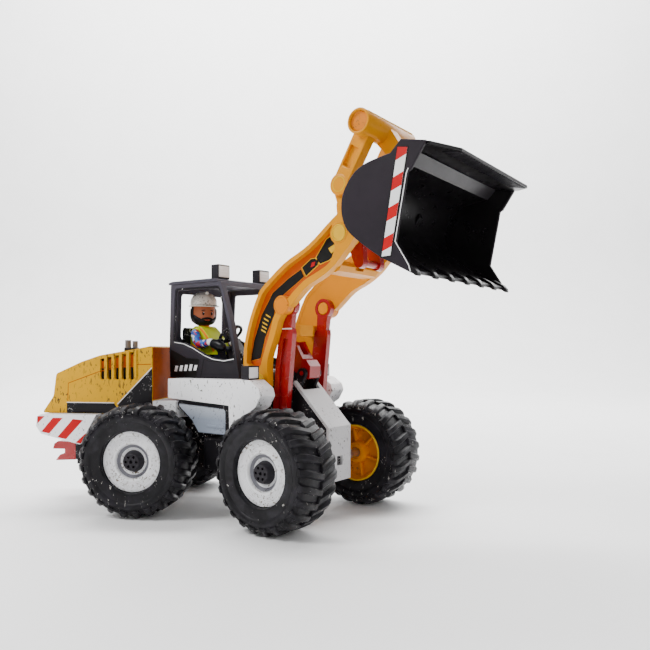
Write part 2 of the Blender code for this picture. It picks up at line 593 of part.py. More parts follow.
# Bucket
BUCKET_OUTLINE = [(120.5, 280.8), (139.5, 276.6), (128.2, 259.6), (125.8, 258.3), (117.1, 213.7),
                  (127.3, 197.5),
                  (128.7, 192), (105.6, 203.9), (79.4, 223.6), (74.4, 232.2), (72.8, 242.4), (75, 252.9),
                  (82.6, 263.4), (92.2, 269), (105.6, 271.9), (112.6, 272.9)]
BUCKET_INSIDE = [(150, 181.3), (130.05, 194.1), (107, 206.1), (81.4, 225.4), (77, 233), (75.4, 242.4),
                 (77.4, 251.6), (84.4, 260.9), (93.2, 266.3), (106.2, 269.1), (114.2, 270.3),
                 (121.6, 277.8),
                 (139, 273.9), (190, 262)]
bucket = plate("bucket", BUCKET_OUTLINE, -BUCKET_HALF, BUCKET_HALF, front, BUCKET_BLACK,
               origin=BUCKET_PIVOT)
bucket.location = (BUCKET_PIVOT[0] * MM, 0, BUCKET_PIVOT[1] * MM)
floor = plate("bucket_floor", [(128.7, 192), (105.6, 203.9), (106.8, 206.2), (130.0, 194.2)],
              -BUCKET_HALF, BUCKET_HALF, front)
guard = plate("bucket_guard", [(137, 277.15), (154.8, 273.1), (154.8, 270.9), (137, 274.7)], -BUCKET_HALF,
              BUCKET_HALF, front)
cut(guard,
    slab("guard_corner", [(139.4, -81), (139.4, -80), (154.9, -62), (160, -62), (160, -81)], 260, 290,
         front),
    slab("guard_corner_far", [(139.4, 81), (160, 81), (160, 62), (154.9, 62), (139.4, 80)], 260, 290,
         front))
cut(bucket, plate("bucket_hollow", BUCKET_INSIDE, -BUCKET_HALF + BUCKET_WALL, BUCKET_HALF - BUCKET_WALL,
                  front))
join(bucket, floor, guard)
for side in SIDES.values():
    join(bucket,
         plate("bucket_ear", hull(circle(BUCKET_PIVOT, 5.5, 20), [(76.5, 259), (80, 250), (75.5, 244)]),
               side * 22, side * 27.4, front),
         cylinder("bucket_stub", BUCKET_PIVOT, 2.0, side * 22, side * 33.3, front, sides=16),
         plate("link_ear", hull(circle(BUCKET_TOP_EYE, 8.0, 20), [(93, 266.8), (103, 270.2), (98, 275)]),
               side * 6.5, side * 12, front))
cut(bucket, cylinder("link_play", BUCKET_TOP_EYE, 5.9, -14, 14, front, sides=24))
TEETH = 7
for i in range(TEETH):
    y = (i - (TEETH - 1) / 2) * 25.6
    join(bucket, plate("tooth", [(121, 196), (121.8, 199.9), (129.9, 196), (132.9, 190.2), (129, 191.9)],
                       y - 3, y + 3, front))

# Rear chassis
RAIL_OUTLINE = [(-17, 34), (-17, 83.6), (-30, 83.6), (-30, 80.7), (-122, 80.7), (-150, 80.7),
                (-158, 76), (-158, 34)]
rear_body = plate("rear_chassis", RAIL_OUTLINE, -20, 20, rear, BLACK)
shelf = box("deck_shelf", (-120, -38, 77.5), (-50, 38, 80.7), rear)
hood_shelf = box("hood_shelf", (-120, -36, 77.5), (-76, 36, 83.8), rear)
bracket = box("hitch_bracket", (-166, -9, 36), (-157, 9, 54), rear, round_by=0.8)
join(rear_body, shelf, hood_shelf, bracket)
for low, high in ((LUGS[0][1] + GAP, 48), (78, LUGS[1][0] - GAP)):
    lug = hull(circle((0, 0), LUG_RADIUS, 20), [(-18, -15), (-18, 15)])
    join(rear_body, slab("rear_lug", lug, low, high, rear))
cut(rear_body,
    cylinder("rear_axle_bore", (REAR_AXLE_X, WHEEL_RADIUS), BORE, -60, 60, rear, sides=20),
    cylinder("rear_pivot_bore", (0, 0), BORE, 30, 95, rear, axis="Z", sides=20),
    box("rail_hollow", (-150, -13, 28), (-90, 13, 70), rear))

rear_deck = slab("rear_deck", [(-74.1, -40), (-52.5, -40), (-46.5, -29), (-46.5, 29), (-52.5, 40),
                               (-74.1, 40)],
                 81, 96, rear, WHITE)
cut(rear_deck, box("deck_notch", (-80, -8, 92), (-40, 8, 100), rear))

HOOD_OUTLINE = [(-74.5, 84.1), (-74.5, 146), (-91.6, 142.8), (-124.8, 137.2), (-142.6, 131.4),
                (-167.6, 120.3),
                (-170.4, 99.5), (-180.4, 85.3), (-179.4, 84.1)]
HOOD_INSIDE = [(-77.2, 70), (-77.2, 142.7), (-91.8, 140), (-124, 134.6), (-141.4, 128.9), (-165.2, 118.4),
               (-167.9, 98.8), (-175.6, 87.6), (-175.6, 70)]
hood = plate("hood", HOOD_OUTLINE, -HOOD_HALF, HOOD_HALF, rear, YELLOW)
cut(hood, plate("hood_hollow", HOOD_INSIDE, -HOOD_HALF + 2.6, HOOD_HALF - 2.6, rear))
hood_edge = hood.modifiers.new("edge", "BEVEL")
hood_edge.width = 1.2 * MM
hood_edge.segments = 2
hood_edge.angle_limit = math.radians(50)
LOUVRES = ((-122.3, 135.4), (-115.3, 137), (-108.2, 138.4), (-101.2, 139.9), (-94.0, 141.2))
for x, top in LOUVRES:
    slot = hull(circle((x, 117), 2.0, 12), [(x - 2, top - 2.8), (x + 2, top - 2.2)])
    cut(hood, plate("louvre", slot, -50, 50, rear))
plate("exhaust_stub", [(-118.5, 138.6), (-118.5, 151.7), (-106.5, 151.7), (-106.5, 140.6)], -4.5, 4.5,
      rear, LAMP_BLACK)

WEIGHT_OUTLINE = [(-180.4, 81.8), (-176.5, 83.8), (-123.4, 83.8), (-139, 56.9), (-176.7, 65.8),
                  (-181.8, 73.1)]
weight = plate("counterweight", WEIGHT_OUTLINE, -50, 50, rear, WHITE)
cut(weight, box("weight_pocket", (-158.3, -20.3, 40), (-110, 20.3, 95), rear),
    box("weight_shelf", (-125, -38.3, 70), (-110, 38.3, 95), rear))

HITCH_OUTLINE = [(-166.3, 53.1), (-184.5, 53.4), (-188.5, 50.8), (-189.9, 45.8), (-177.5, 45.8),
                 (-177.5, 42),
                 (-179.5, 41.2), (-182.5, 40.2), (-187, 34.6), (-166.3, 35.7)]
plate("tow_hitch", HITCH_OUTLINE, -8, 8, rear, RED)
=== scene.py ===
"""Looks of the toy front loader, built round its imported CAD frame.

Shapes are drawn in millimetres in one of two unit frames that share the ground plane: "front" has its
origin under the front axle with +X forwards, and "rear" has its origin under the steering pin.
"""

import math

import bmesh
import bpy
from mathutils import Matrix, Vector


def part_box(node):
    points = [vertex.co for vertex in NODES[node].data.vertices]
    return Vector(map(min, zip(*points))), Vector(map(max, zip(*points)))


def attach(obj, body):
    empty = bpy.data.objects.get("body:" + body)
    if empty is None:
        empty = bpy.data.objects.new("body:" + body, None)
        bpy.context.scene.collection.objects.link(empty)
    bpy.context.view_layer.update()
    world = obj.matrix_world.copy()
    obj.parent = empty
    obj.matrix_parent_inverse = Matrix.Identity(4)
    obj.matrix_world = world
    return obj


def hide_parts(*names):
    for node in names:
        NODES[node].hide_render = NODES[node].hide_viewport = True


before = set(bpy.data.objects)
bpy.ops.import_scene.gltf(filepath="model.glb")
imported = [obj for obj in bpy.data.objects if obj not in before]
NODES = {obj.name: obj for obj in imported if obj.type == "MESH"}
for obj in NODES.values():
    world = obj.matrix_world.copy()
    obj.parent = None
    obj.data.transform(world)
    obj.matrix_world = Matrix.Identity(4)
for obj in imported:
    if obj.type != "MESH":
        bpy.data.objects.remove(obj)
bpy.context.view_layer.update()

MM = 0.001
STEER = math.radians(28.2)


def middle(node):
    """The middle of a CAD node's box, in metres."""
    low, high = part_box(node)
    return (Vector(low) + Vector(high)) / 2


def on_ground(point):
    return Matrix.Translation((point.x, point.y, 0))


SCALE = Matrix.Scale(MM, 4)
UNITS = {
    "front": on_ground(middle("front_axle")) @ SCALE,
    "rear": on_ground(middle("steering_pin")) @ Matrix.Rotation(STEER, 4, "Z") @ SCALE,
}
SIDES = {"left": 1, "right": -1}

# Shared places, as in the CAD
WHEEL_RADIUS = 48.0
WHEEL_OUT = 65.6
REAR_AXLE_X = -75.2
DISC_FACE = 15.7
LIFT_PIVOT = (-44.0, 116.0)
STRUT_EYE = (-18.8, 179.6)
LEVER_PIVOT = (39.9, 233.8)
LEVER_TOP = (33.0, 274.8)
TUBE_AT = (58.5, 317.5)
SEAT_LINE = -13.0
BUCKET_PIVOT = (69, 252.8)
BUCKET_EYE = (88, 277)
PANEL_SPAN = (40.6, 59)
CAB_HALF = 40.0
HOOD_HALF = 40

# A turned profile starts this far from its axis, so that its first and last points stay apart.
AXIS = 0.001

# ---------------------------------------------------------------- materials


class Tree:
    """A material's node tree, with short calls for the nodes used here."""

    def __init__(self, name):
        self.material = bpy.data.materials.new(name)
        self.material.use_nodes = True
        self.nodes = self.material.node_tree.nodes
        self.links = self.material.node_tree.links
        self.shader = self.nodes["Principled BSDF"]
        self.place = self.nodes.new("ShaderNodeTexCoord").outputs["Object"]

    def add(self, kind, inputs, **settings):
        node = self.nodes.new(kind)
        for key, value in settings.items():
            setattr(node, key, value)
        for key, value in inputs.items():
            self.feed(node.inputs[key], value)
        return node

    def feed(self, socket, value):
        if isinstance(value, bpy.types.NodeSocket):
            self.links.new(value, socket)
        else:
            socket.default_value = value

    def stretched(self, scale):
        """The place of each point in millimetres, scaled along X, Y and Z."""
        inputs = {"Vector": self.place, "Scale": [s / MM for s in scale]}
        return self.add("ShaderNodeMapping", inputs).outputs[0]

    def noise(self, scale, detail=3.0, distortion=0.0, stretch=(1, 1, 1), seed=0.0):
        """Noise whose scale is in blobs per millimetre; seed shifts it."""
        shift = (seed, seed * 1.7, seed * 2.3)
        moved = self.add("ShaderNodeVectorMath", {0: self.stretched(stretch), 1: shift})
        return self.add("ShaderNodeTexNoise", {"Vector": moved.outputs[0], "Scale": scale, "Detail": detail,
                                               "Distortion": distortion}).outputs["Fac"]

    def between(self, factor, low, high, to_low=0.0, to_high=1.0):
        return self.add("ShaderNodeMapRange", {"Value": factor, "From Min": low, "From Max": high,
                                               "To Min": to_low, "To Max": to_high}).outputs[0]

    def mix(self, factor, a, b):
        node = self.add("ShaderNodeMix", {}, data_type="RGBA")
        self.feed(node.inputs[0], factor)
        self.feed(node.inputs[6], a)
        self.feed(node.inputs[7], b)
        return node.outputs[2]

    def maths(self, operation, a, b=0.0):
        return self.add("ShaderNodeMath", {0: a, 1: b}, operation=operation).outputs[0]

    def bump(self, height, distance, strength=1.0, normal=None):
        inputs = {"Height": height, "Distance": distance * MM, "Strength": strength}
        if normal is not None:
            inputs["Normal"] = normal
        return self.add("ShaderNodeBump", inputs).outputs[0]

    def surface(self, base, rough, normal=None, **others):
        """Feeds the shader and returns the material; others are inputs by name, with _ for a space."""
        inputs = {"Base_Color": base, "Roughness": rough, "Normal": normal, **others}
        for key, value in inputs.items():
            if value is not None:
                self.feed(self.shader.inputs[key.replace("_", " ")], value)
        return self.material


def shade(colour, factor):
    return (*[min(1.0, c * factor) for c in colour], 1.0)


def plastic(name, colour, roughness=0.35, grain=0.0, specks=None, speck_amount=0.4, mottle=0.06, coat=0.0,
            seed=0.0, lean=(1, 1, 1), fade=None, specular=0.18, splash_at=0.625, ripple=0.9):
    """Moulded plastic: slight mottling, uneven gloss, a fine moulded skin, and splashes of dried mud.

    grain is the depth of the moulded texture in mm, and fade is (colour, low z, high z) in metres for a
    tint that comes in with height.
    """
    tree = Tree(name)
    broad = tree.noise(0.035, 4, seed=seed)
    base = tree.mix(tree.between(broad, 0.3, 0.7), shade(colour, 1 - mottle), shade(colour, 1 + mottle))
    if fade:
        tint, low, high = fade
        height = tree.add("ShaderNodeSeparateXYZ", {0: tree.place}).outputs[2]
        base = tree.mix(tree.between(height, low, high), base, (*tint, 1.0))
    rough = tree.between(tree.noise(0.12, 5, seed=seed + 3), 0.25, 0.75, roughness - 0.06, roughness + 0.09)
    if specks:
        spots = tree.between(tree.noise(0.55, 2, 0.6, lean, seed + 7), splash_at, splash_at + 0.025)
        patches = tree.between(tree.noise(0.05, 2, seed=seed + 11), 0.64 - 0.35 * speck_amount, 0.66)
        splash = tree.maths("MULTIPLY", spots, patches)
        base = tree.mix(splash, base, (*specks, 1.0))
        rough = tree.maths("MAXIMUM", rough, tree.maths("MULTIPLY", splash, 0.8))
    waves = tree.bump(tree.noise(0.08, 2, seed=seed), 0.05, 0.5)
    skin = tree.bump(tree.noise(2.2 if grain else 5.0, 2, seed=seed), max(grain, 0.008), ripple, waves)
    return tree.surface(base, rough, skin, Specular_IOR_Level=specular, Coat_Weight=coat, Coat_Roughness=0.12)


def metal(name, colour, roughness):
    """Turned steel, with fine rings round its length and dull stains."""
    tree = Tree(name)
    stain = tree.between(tree.noise(0.15, 5), 0.35, 0.75)
    return tree.surface(tree.mix(stain, shade(colour, 1.1), shade(colour, 0.7)),
                        tree.between(stain, 0, 1, roughness, roughness + 0.2),
                        tree.bump(tree.noise(3, 2, 0, (0.2, 3, 0.2)), 0.02), Metallic=1.0)


def lens_material(name):
    """A lamp lens: pale, glossy, with fine prisms behind the surface."""
    tree = Tree(name)
    inputs = {"Vector": tree.stretched((1, 1, 1)), "Scale": 0.35}
    prisms = tree.add("ShaderNodeTexWave", inputs, bands_direction="Z").outputs["Fac"]
    return tree.surface(tree.mix(prisms, (0.80, 0.80, 0.79, 1), (0.93, 0.93, 0.92, 1)),
                        tree.between(tree.noise(0.2, 3), 0, 1, 0.08, 0.22), tree.bump(prisms, 0.05),
                        Coat_Weight=0.6)


def rubber(name):
    """Black tyre rubber: grey dust in streaks, dry mud low in the tread, satin shine on what stands out."""
    tree = Tree(name)
    dust = tree.between(tree.noise(0.09, 6, 0.5, seed=2), 0.45, 0.85)
    base = tree.mix(dust, (0.004, 0.0035, 0.005, 1), (0.022, 0.020, 0.026, 1))
    spots = tree.between(tree.noise(0.6, 2, 0.8, (1, 1, 0.45), 5), 0.68, 0.71)
    patches = tree.between(tree.noise(0.04, 2, seed=9), 0.48, 0.6)
    splash = tree.maths("MULTIPLY", spots, patches)
    base = tree.mix(splash, base, (0.62, 0.60, 0.56, 1))
    rough = tree.between(tree.noise(0.2, 5, seed=4), 0.25, 0.8, 0.28, 0.6)
    waves = tree.bump(tree.noise(0.25, 4, seed=6), 0.25, 0.7)
    skin = tree.bump(tree.noise(2.5, 3), 0.03, 0.8, waves)
    return tree.surface(base, rough, skin, Specular_IOR_Level=0.2)


def printed(name, colours, scale):
    """A sleeve's printed cloth in patches of flat colours."""
    tree = Tree(name)
    cells = tree.add("ShaderNodeTexVoronoi", {"Vector": tree.stretched((1, 1, 1)), "Scale": scale})
    pick = tree.add("ShaderNodeSeparateColor", {0: cells.outputs["Color"]}).outputs[0]
    base = (*colours[0], 1.0)
    for step, colour in enumerate(colours[1:], 1):
        edge = step / len(colours)
        base = tree.mix(tree.between(pick, edge, edge + 0.01), base, (*colour, 1.0))
    return tree.surface(base, tree.between(tree.noise(0.4, 3), 0, 1, 0.35, 0.55),
                        tree.bump(tree.noise(1.2, 3), 0.02))


MUD = (0.035, 0.025, 0.018)
DUST = (0.75, 0.73, 0.70)

LOOKS = {
    "hood": plastic("hood_yellow", (0.64, 0.33, 0.0), 0.36, specks=MUD, speck_amount=0.95,
                    lean=(0.9, 0.9, 0.35), splash_at=0.60),
    "yellow": plastic("arm_yellow", (0.68, 0.265, 0.0), 0.32, mottle=0.05, seed=20),
    "amber": plastic("rim_amber", (0.66, 0.20, 0.0), 0.3, specks=MUD, speck_amount=0.3, seed=24),
    "pin": plastic("pin_pale_yellow", (0.74, 0.42, 0.01), 0.38, seed=26),
    # web: the yellow plastic's colour in shade, put on as painted shade
    "web": plastic("web_painted_shade_orange", (0.50, 0.075, 0.0), 0.36, mottle=0.08, seed=22),
    # orange: the hood's yellow in deep shade, put on as painted shade, with real mud specks
    "orange": plastic("hood_painted_shade_orange", (0.34, 0.055, 0.0), 0.68, specks=MUD, speck_amount=0.8, mottle=0.2,
                      seed=28, specular=0.08),
    "red": plastic("gloss_red", (0.30, 0.002, 0.003), 0.22, coat=0.3, mottle=0.12, seed=31, specular=0.4),
    "stripe": plastic("stripe_red", (0.48, 0.003, 0.006), 0.4, seed=33),
    "black": plastic("chassis_black", (0.008, 0.007, 0.009), 0.42, specks=DUST, speck_amount=0.45, seed=35),
    # shadow: black for printed decals, and as painted shade in a groove, on the hood's back ribs and inside
    # the hood
    "shadow": plastic("decal_and_shade_black", (0.004, 0.004, 0.004), 0.5, seed=37),
    "bucket_in": plastic("bucket_gloss_black", (0.006, 0.005, 0.006), 0.3, mottle=0.15, seed=39,
                         specular=0.3, ripple=0.25),
    "bucket_out": plastic("bucket_matt_grey", (0.014, 0.010, 0.015), 0.55, grain=0.05, mottle=0.15, seed=41),
    # facet: the bucket's black made lighter as painted highlight
    "facet": plastic("bucket_painted_highlight_grey", (0.018, 0.016, 0.019), 0.35, seed=43, specular=0.3),
    "cab": plastic("cab_textured_grey", (0.016, 0.014, 0.018), 0.55, grain=0.06, mottle=0.15, seed=45,
                   fade=((0.055, 0.050, 0.066), 0.130, 0.175)),
    # edge: white for printed marks, and for painted highlights along lit edges
    "edge": plastic("white_print_and_highlight", (0.86, 0.86, 0.87), 0.4, seed=47),
    "white": plastic("panel_white", (0.95, 0.95, 0.97), 0.36, specks=MUD, speck_amount=0.7,
                     mottle=0.02, seed=49, lean=(0.8, 0.8, 0.5)),
    "nose": plastic("nose_grey", (0.50, 0.49, 0.50), 0.4, specks=MUD, speck_amount=0.55,
                    mottle=0.04, seed=51),
    # tank: its paler tint towards the top is a painted highlight
    "tank": plastic("tank_blue_grey", (0.27, 0.31, 0.38), 0.4, specks=MUD, speck_amount=0.6, seed=53,
                    fade=((0.50, 0.54, 0.60), 0.082, 0.094)),
    "disc": plastic("disc_silver_white", (0.74, 0.74, 0.76), 0.28, specks=(0.12, 0.08, 0.04),
                    speck_amount=1.0, mottle=0.10, seed=55, lean=(0.8, 0.8, 0.8), specular=0.5,
                    splash_at=0.585),
    # dish: the disc's silver darkened as painted shade in the recessed dish, with real mud specks
    "dish": plastic("dish_painted_shade_silver", (0.15, 0.15, 0.17), 0.3, specks=MUD, speck_amount=0.4, seed=57),
    "lamp": plastic("lamp_dark", (0.018, 0.016, 0.020), 0.45, seed=59),
    "lamp_back": plastic("lamp_back_grey", (0.16, 0.155, 0.17), 0.45, seed=60),
    "vest": plastic("vest_yellow_green", (0.50, 0.58, 0.002), 0.42, seed=61),
    "vest_stripe": plastic("vest_orange", (0.80, 0.20, 0.0), 0.42, seed=62),
    "trousers": plastic("trousers_navy", (0.004, 0.006, 0.02), 0.5, seed=63),
    "skin": plastic("face_brown", (0.33, 0.095, 0.04), 0.42, mottle=0.04, seed=65),
    "hair": plastic("hair_black", (0.006, 0.005, 0.005), 0.4, seed=67),
    "mouth": plastic("mouth_brown_red", (0.38, 0.06, 0.04), 0.45, seed=68),
    "helmet": plastic("helmet_white", (0.74, 0.70, 0.63), 0.28, specks=(0.08, 0.045, 0.02), speck_amount=1.0,
                      seed=69, specular=0.5, splash_at=0.61, mottle=0.14),
    "glove": plastic("glove_black", (0.006, 0.006, 0.008), 0.32, seed=71),
    "cuff": plastic("cuff_white", (0.85, 0.85, 0.85), 0.45, seed=73),
    "steel": metal("axle_steel", (0.58, 0.58, 0.60), 0.3),
    "lens": lens_material("lamp_lens"),
    "rubber": rubber("tyre_rubber"),
    "sleeve": printed("sleeve_print", [(0.01, 0.07, 0.42), (0.02, 0.16, 0.55), (0.01, 0.04, 0.26),
                                       (0.42, 0.01, 0.03), (0.01, 0.09, 0.48), (0.70, 0.70, 0.74)], 0.42),
}

# ---------------------------------------------------------------- mesh tools


def arc(centre, radius, start, sweep, count=8):
    """Points on an arc from start through sweep, in degrees."""
    angles = [math.radians(start + sweep * i / (count - 1)) for i in range(count)]
    return [(centre[0] + radius * math.cos(a), centre[1] + radius * math.sin(a)) for a in angles]


def circle(centre, radius, count=32):
    return arc(centre, radius, 0, 360 * (count - 1) / count, count)


def rounded(points, radius, count=5):
    """A closed outline with each corner rounded by an arc-like curve that starts radius from it."""
    result = []
    for before, corner, after in zip(points[-1:] + points[:-1], points, points[1:] + points[:1]):
        corner = Vector(corner)
        to_before, to_after = Vector(before) - corner, Vector(after) - corner
        reach = min(radius, to_before.length * 0.45, to_after.length * 0.45)
        start = corner + to_before.normalized() * reach
        end = corner + to_after.normalized() * reach
        for i in range(count):
            t = i / (count - 1)
            result.append(tuple((1 - t) ** 2 * start + 2 * t * (1 - t) * corner + t * t * end))
    return result


def smooth(points, pieces=5):
    """A Catmull-Rom curve through open points."""
    points = [Vector(point) for point in points]
    full = [2 * points[0] - points[1], *points, 2 * points[-1] - points[-2]]
    result = []
    for a, b, c, d in zip(full, full[1:], full[2:], full[3:]):
        for i in range(pieces):
            t = i / pieces
            result.append(tuple(0.5 * (2 * b + (c - a) * t + (2 * a - 5 * b + 4 * c - d) * t * t
                                       + (3 * b - a - 3 * c + d) * t ** 3)))
    return result + [tuple(points[-1])]


def hull(*groups):
    """The convex outline round all the points given."""
    points = sorted(set(tuple(point) for group in groups for point in group))

    def half(order):
        line = []
        for p in order:
            while len(line) > 1 and ((line[-1][0] - line[-2][0]) * (p[1] - line[-2][1])
                                     - (line[-1][1] - line[-2][1]) * (p[0] - line[-2][0])) <= 0:
                line.pop()
            line.append(p)
        return line[:-1]

    return half(points) + half(points[::-1])


def clipped(outline, along, low, high):
    """The part of a convex outline whose distance along a direction is between low and high."""
    for sign, limit in ((1, high), (-1, -low)):
        kept = []
        for a, b in zip(outline, outline[1:] + outline[:1]):
            da = limit - sign * (a[0] * along[0] + a[1] * along[1])
            db = limit - sign * (b[0] * along[0] + b[1] * along[1])
            if da >= 0:
                kept.append(a)
            if (da >= 0) != (db >= 0):
                t = da / (da - db)
                kept.append((a[0] + (b[0] - a[0]) * t, a[1] + (b[1] - a[1]) * t))
        outline = kept
    return outline


def grid_mesh(rows, closed_rows=False, closed_columns=False):
    """A bmesh from rows of points, each row joined to the next."""
    bm = bmesh.new()
    verts = [[bm.verts.new(point) for point in row] for row in rows]
    after = verts[1:] + (verts[:1] if closed_rows else [])
    for first, second in zip(verts, after):
        count = len(first)
        for i in range(count if closed_columns else count - 1):
            j = (i + 1) % count
            bm.faces.new((first[i], first[j], second[j], second[i]))
    return bm


def as_object(name, bm, matrix):
    mesh = bpy.data.meshes.new(name)
    bmesh.ops.remove_doubles(bm, verts=bm.verts, dist=1e-5)
    bmesh.ops.recalc_face_normals(bm, faces=bm.faces)
    bm.to_mesh(mesh)
    bm.free()
    mesh.transform(matrix)
    if matrix.determinant() < 0:
        mesh.flip_normals()
    made = bpy.data.objects.new(name, mesh)
    bpy.context.scene.collection.objects.link(made)
    return made


XY_TO_YZ = ((0, 0, 1, 0), (1, 0, 0, 0), (0, 1, 0, 0), (0, 0, 0, 1))


def outline_mesh(outline, low, high, holes=(), plane="XZ"):
    """A bmesh of a flat outline with holes, extruded from low to high across its plane."""
    curve = bpy.data.curves.new("outline", "CURVE")
    curve.dimensions = "2D"
    curve.fill_mode = "BOTH"
    curve.extrude = abs(high - low) / 2
    for points in (outline, *holes):
        spline = curve.splines.new("POLY")
        spline.points.add(len(points) - 1)
        for point, (a, b) in zip(spline.points, points):
            point.co = (a, b, 0, 1)
        spline.use_cyclic_u = True
    guide = bpy.data.objects.new("outline", curve)
    bpy.context.scene.collection.objects.link(guide)
    mesh = bpy.data.meshes.new_from_object(guide.evaluated_get(bpy.context.evaluated_depsgraph_get()))
    bpy.data.objects.remove(guide)
    bm = bmesh.new()
    bm.from_mesh(mesh)
    bpy.data.meshes.remove(mesh)
    bmesh.ops.remove_doubles(bm, verts=bm.verts, dist=1e-4)
    bmesh.ops.dissolve_limit(bm, angle_limit=math.radians(1), verts=bm.verts, edges=bm.edges)
    across = (low + high) / 2
    if plane == "XZ":
        turn = Matrix.Translation((0, across, 0)) @ Matrix.Rotation(math.pi / 2, 4, "X")
    elif plane == "YZ":
        turn = Matrix.Translation((across, 0, 0)) @ Matrix(XY_TO_YZ)
    else:
        turn = Matrix.Translation((0, 0, across))
    bm.transform(turn)
    return bm


def plate(name, outline, low, high, unit="front", holes=(), plane="XZ"):
    return as_object(name, outline_mesh(outline, low, high, holes, plane), UNITS[unit])


def box(name, low, high, unit="front"):
    outline = [(low[0], low[1]), (high[0], low[1]), (high[0], high[1]), (low[0], high[1])]
    return as_object(name, outline_mesh(outline, low[2], high[2], plane="XY"), UNITS[unit])


def turned_mesh(profile, steps=72):
    """A closed (radius, along) profile turned about Z."""
    rows = []
    for i in range(steps):
        angle = 2 * math.pi * i / steps
        rows.append([(r * math.cos(angle), r * math.sin(angle), along) for r, along in profile])
    return grid_mesh(rows, closed_rows=True, closed_columns=True)


def disc(name, at, radius, low, high, unit="front", rim=0.8, steps=48):
    """A short cylinder along Y at (x, z), with rounded rims."""
    profile = [(AXIS, low), (radius - rim, low), *arc((radius - rim, low + rim), rim, -90, 90, 4),
               *arc((radius - rim, high - rim), rim, 0, 90, 4), (AXIS, high)]
    bm = turned_mesh(profile, steps)
    bm.transform(Matrix.Translation((at[0], 0, at[1])) @ Matrix.Rotation(-math.pi / 2, 4, "X"))
    return as_object(name, bm, UNITS[unit])


def bevel(obj, width, segments=3, angle=32):
    modifier = obj.modifiers.new("edge", "BEVEL")
    modifier.width = width * MM
    modifier.segments = segments
    modifier.limit_method = "ANGLE"
    modifier.angle_limit = math.radians(angle)
    modifier.use_clamp_overlap = True
    modifier.miter_outer = "MITER_ARC"
    return obj


def boolean(target, other, operation):
    modifier = target.modifiers.new(other.name, "BOOLEAN")
    modifier.operation = operation
    modifier.solver = "EXACT"
    modifier.object = other
    return target


def settle(obj, others=()):
    """Turns an object's modifiers into mesh, and removes the helpers that they used."""
    mesh = bpy.data.meshes.new_from_object(obj.evaluated_get(bpy.context.evaluated_depsgraph_get()))
    obj.modifiers.clear()
    obj.data = mesh
    for other in others:
        bpy.data.objects.remove(other)
    return obj


def carve(target, *cutters):
    for cutter in cutters:
        boolean(target, cutter, "DIFFERENCE")
    return settle(target, cutters)


def together(target, *others):
    """Joins meshes into one object without changing their surfaces."""
    bm = bmesh.new()
    for obj in (target, *others):
        bm.from_mesh(obj.data)
    bm.to_mesh(target.data)
    bm.free()
    for other in others:
        bpy.data.objects.remove(other)
    return target


# The body whose pieces are drawn in the rear unit's frame
REAR_BODY = "rear_frame"


def dress(obj, look, sharp):
    """Gives an object one material, and smooth shading but for edges over an angle in degrees."""
    obj.data.materials.clear()
    obj.data.materials.append(LOOKS[look])
    obj.data.shade_smooth()
    obj.data.set_sharp_from_angle(angle=math.radians(sharp))


def finish(obj, body, look, replaces=(), sharp=38):
    """Dresses a piece, ties it to its CAD body, and hides the CAD nodes that it replaces."""
    dress(obj, look, sharp)
    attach(obj, body)
    if replaces:
        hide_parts(*replaces)
    return obj


def sheet(name, outline, span, body, look, edge=(), replaces=(), sharp=38, slot=None, **form):
    """A finished plate over a span, with its edges bevelled by (width, segments, angle)."""
    made = plate(name, outline, *span, unit="rear" if body == REAR_BODY else "front", **form)
    if edge:
        bevel(made, *edge)
    return finish(made, body, look, replaces, sharp)


def grown(outline, by):
    """An outline moved outwards by a distance; it runs clockwise or anticlockwise."""
    area = sum(a[0] * b[1] - b[0] * a[1] for a, b in zip(outline, outline[1:] + outline[:1]))
    sign = 1 if area > 0 else -1
    result = []
    for before, corner, after in zip(outline[-1:] + outline[:-1], outline, outline[1:] + outline[:1]):
        first = (Vector(corner) - Vector(before)).normalized()
        second = (Vector(after) - Vector(corner)).normalized()
        normals = Vector((first.y, -first.x)) + Vector((second.y, -second.x))
        reach = by * sign / max(0.35, normals.length_squared / 4)
        result.append(tuple(Vector(corner) + normals / 2 * reach))
    return result


def mirrored(side, near, far):
    """A pair of Y distances on one side, lowest first."""
    return min(side * near, side * far), max(side * near, side * far)


def thin(name, outline, side, face, height, body, look, slot=None):
    """A thin printed or stuck-on plate that stands on a side face."""
    return sheet(name, outline, mirrored(side, face, face + height), body, look, slot=slot)


def along_y(name, profile, at, side, steps=56):
    """A (radius, along) profile turned about the Y axis at (x, z), pointing outwards on one side."""
    matrix = (UNITS["front"] @ Matrix.Translation((at[0], 0, at[1]))
              @ Matrix.Rotation(-side * math.pi / 2, 4, "X"))
    return as_object(name, turned_mesh(profile, steps), matrix)


def ribbon(line, width):
    """A closed outline of the given width along an open line."""
    left, right = [], []
    for before, here, after in zip(line[:1] + line[:-1], line, line[1:] + line[-1:]):
        along = (Vector(after) - Vector(before)).normalized()
        across = Vector((-along.y, along.x)) * width / 2
        left.append(tuple(Vector(here) + across))
        right.append(tuple(Vector(here) - across))
    return left + right[::-1]


# ---------------------------------------------------------------- wheels

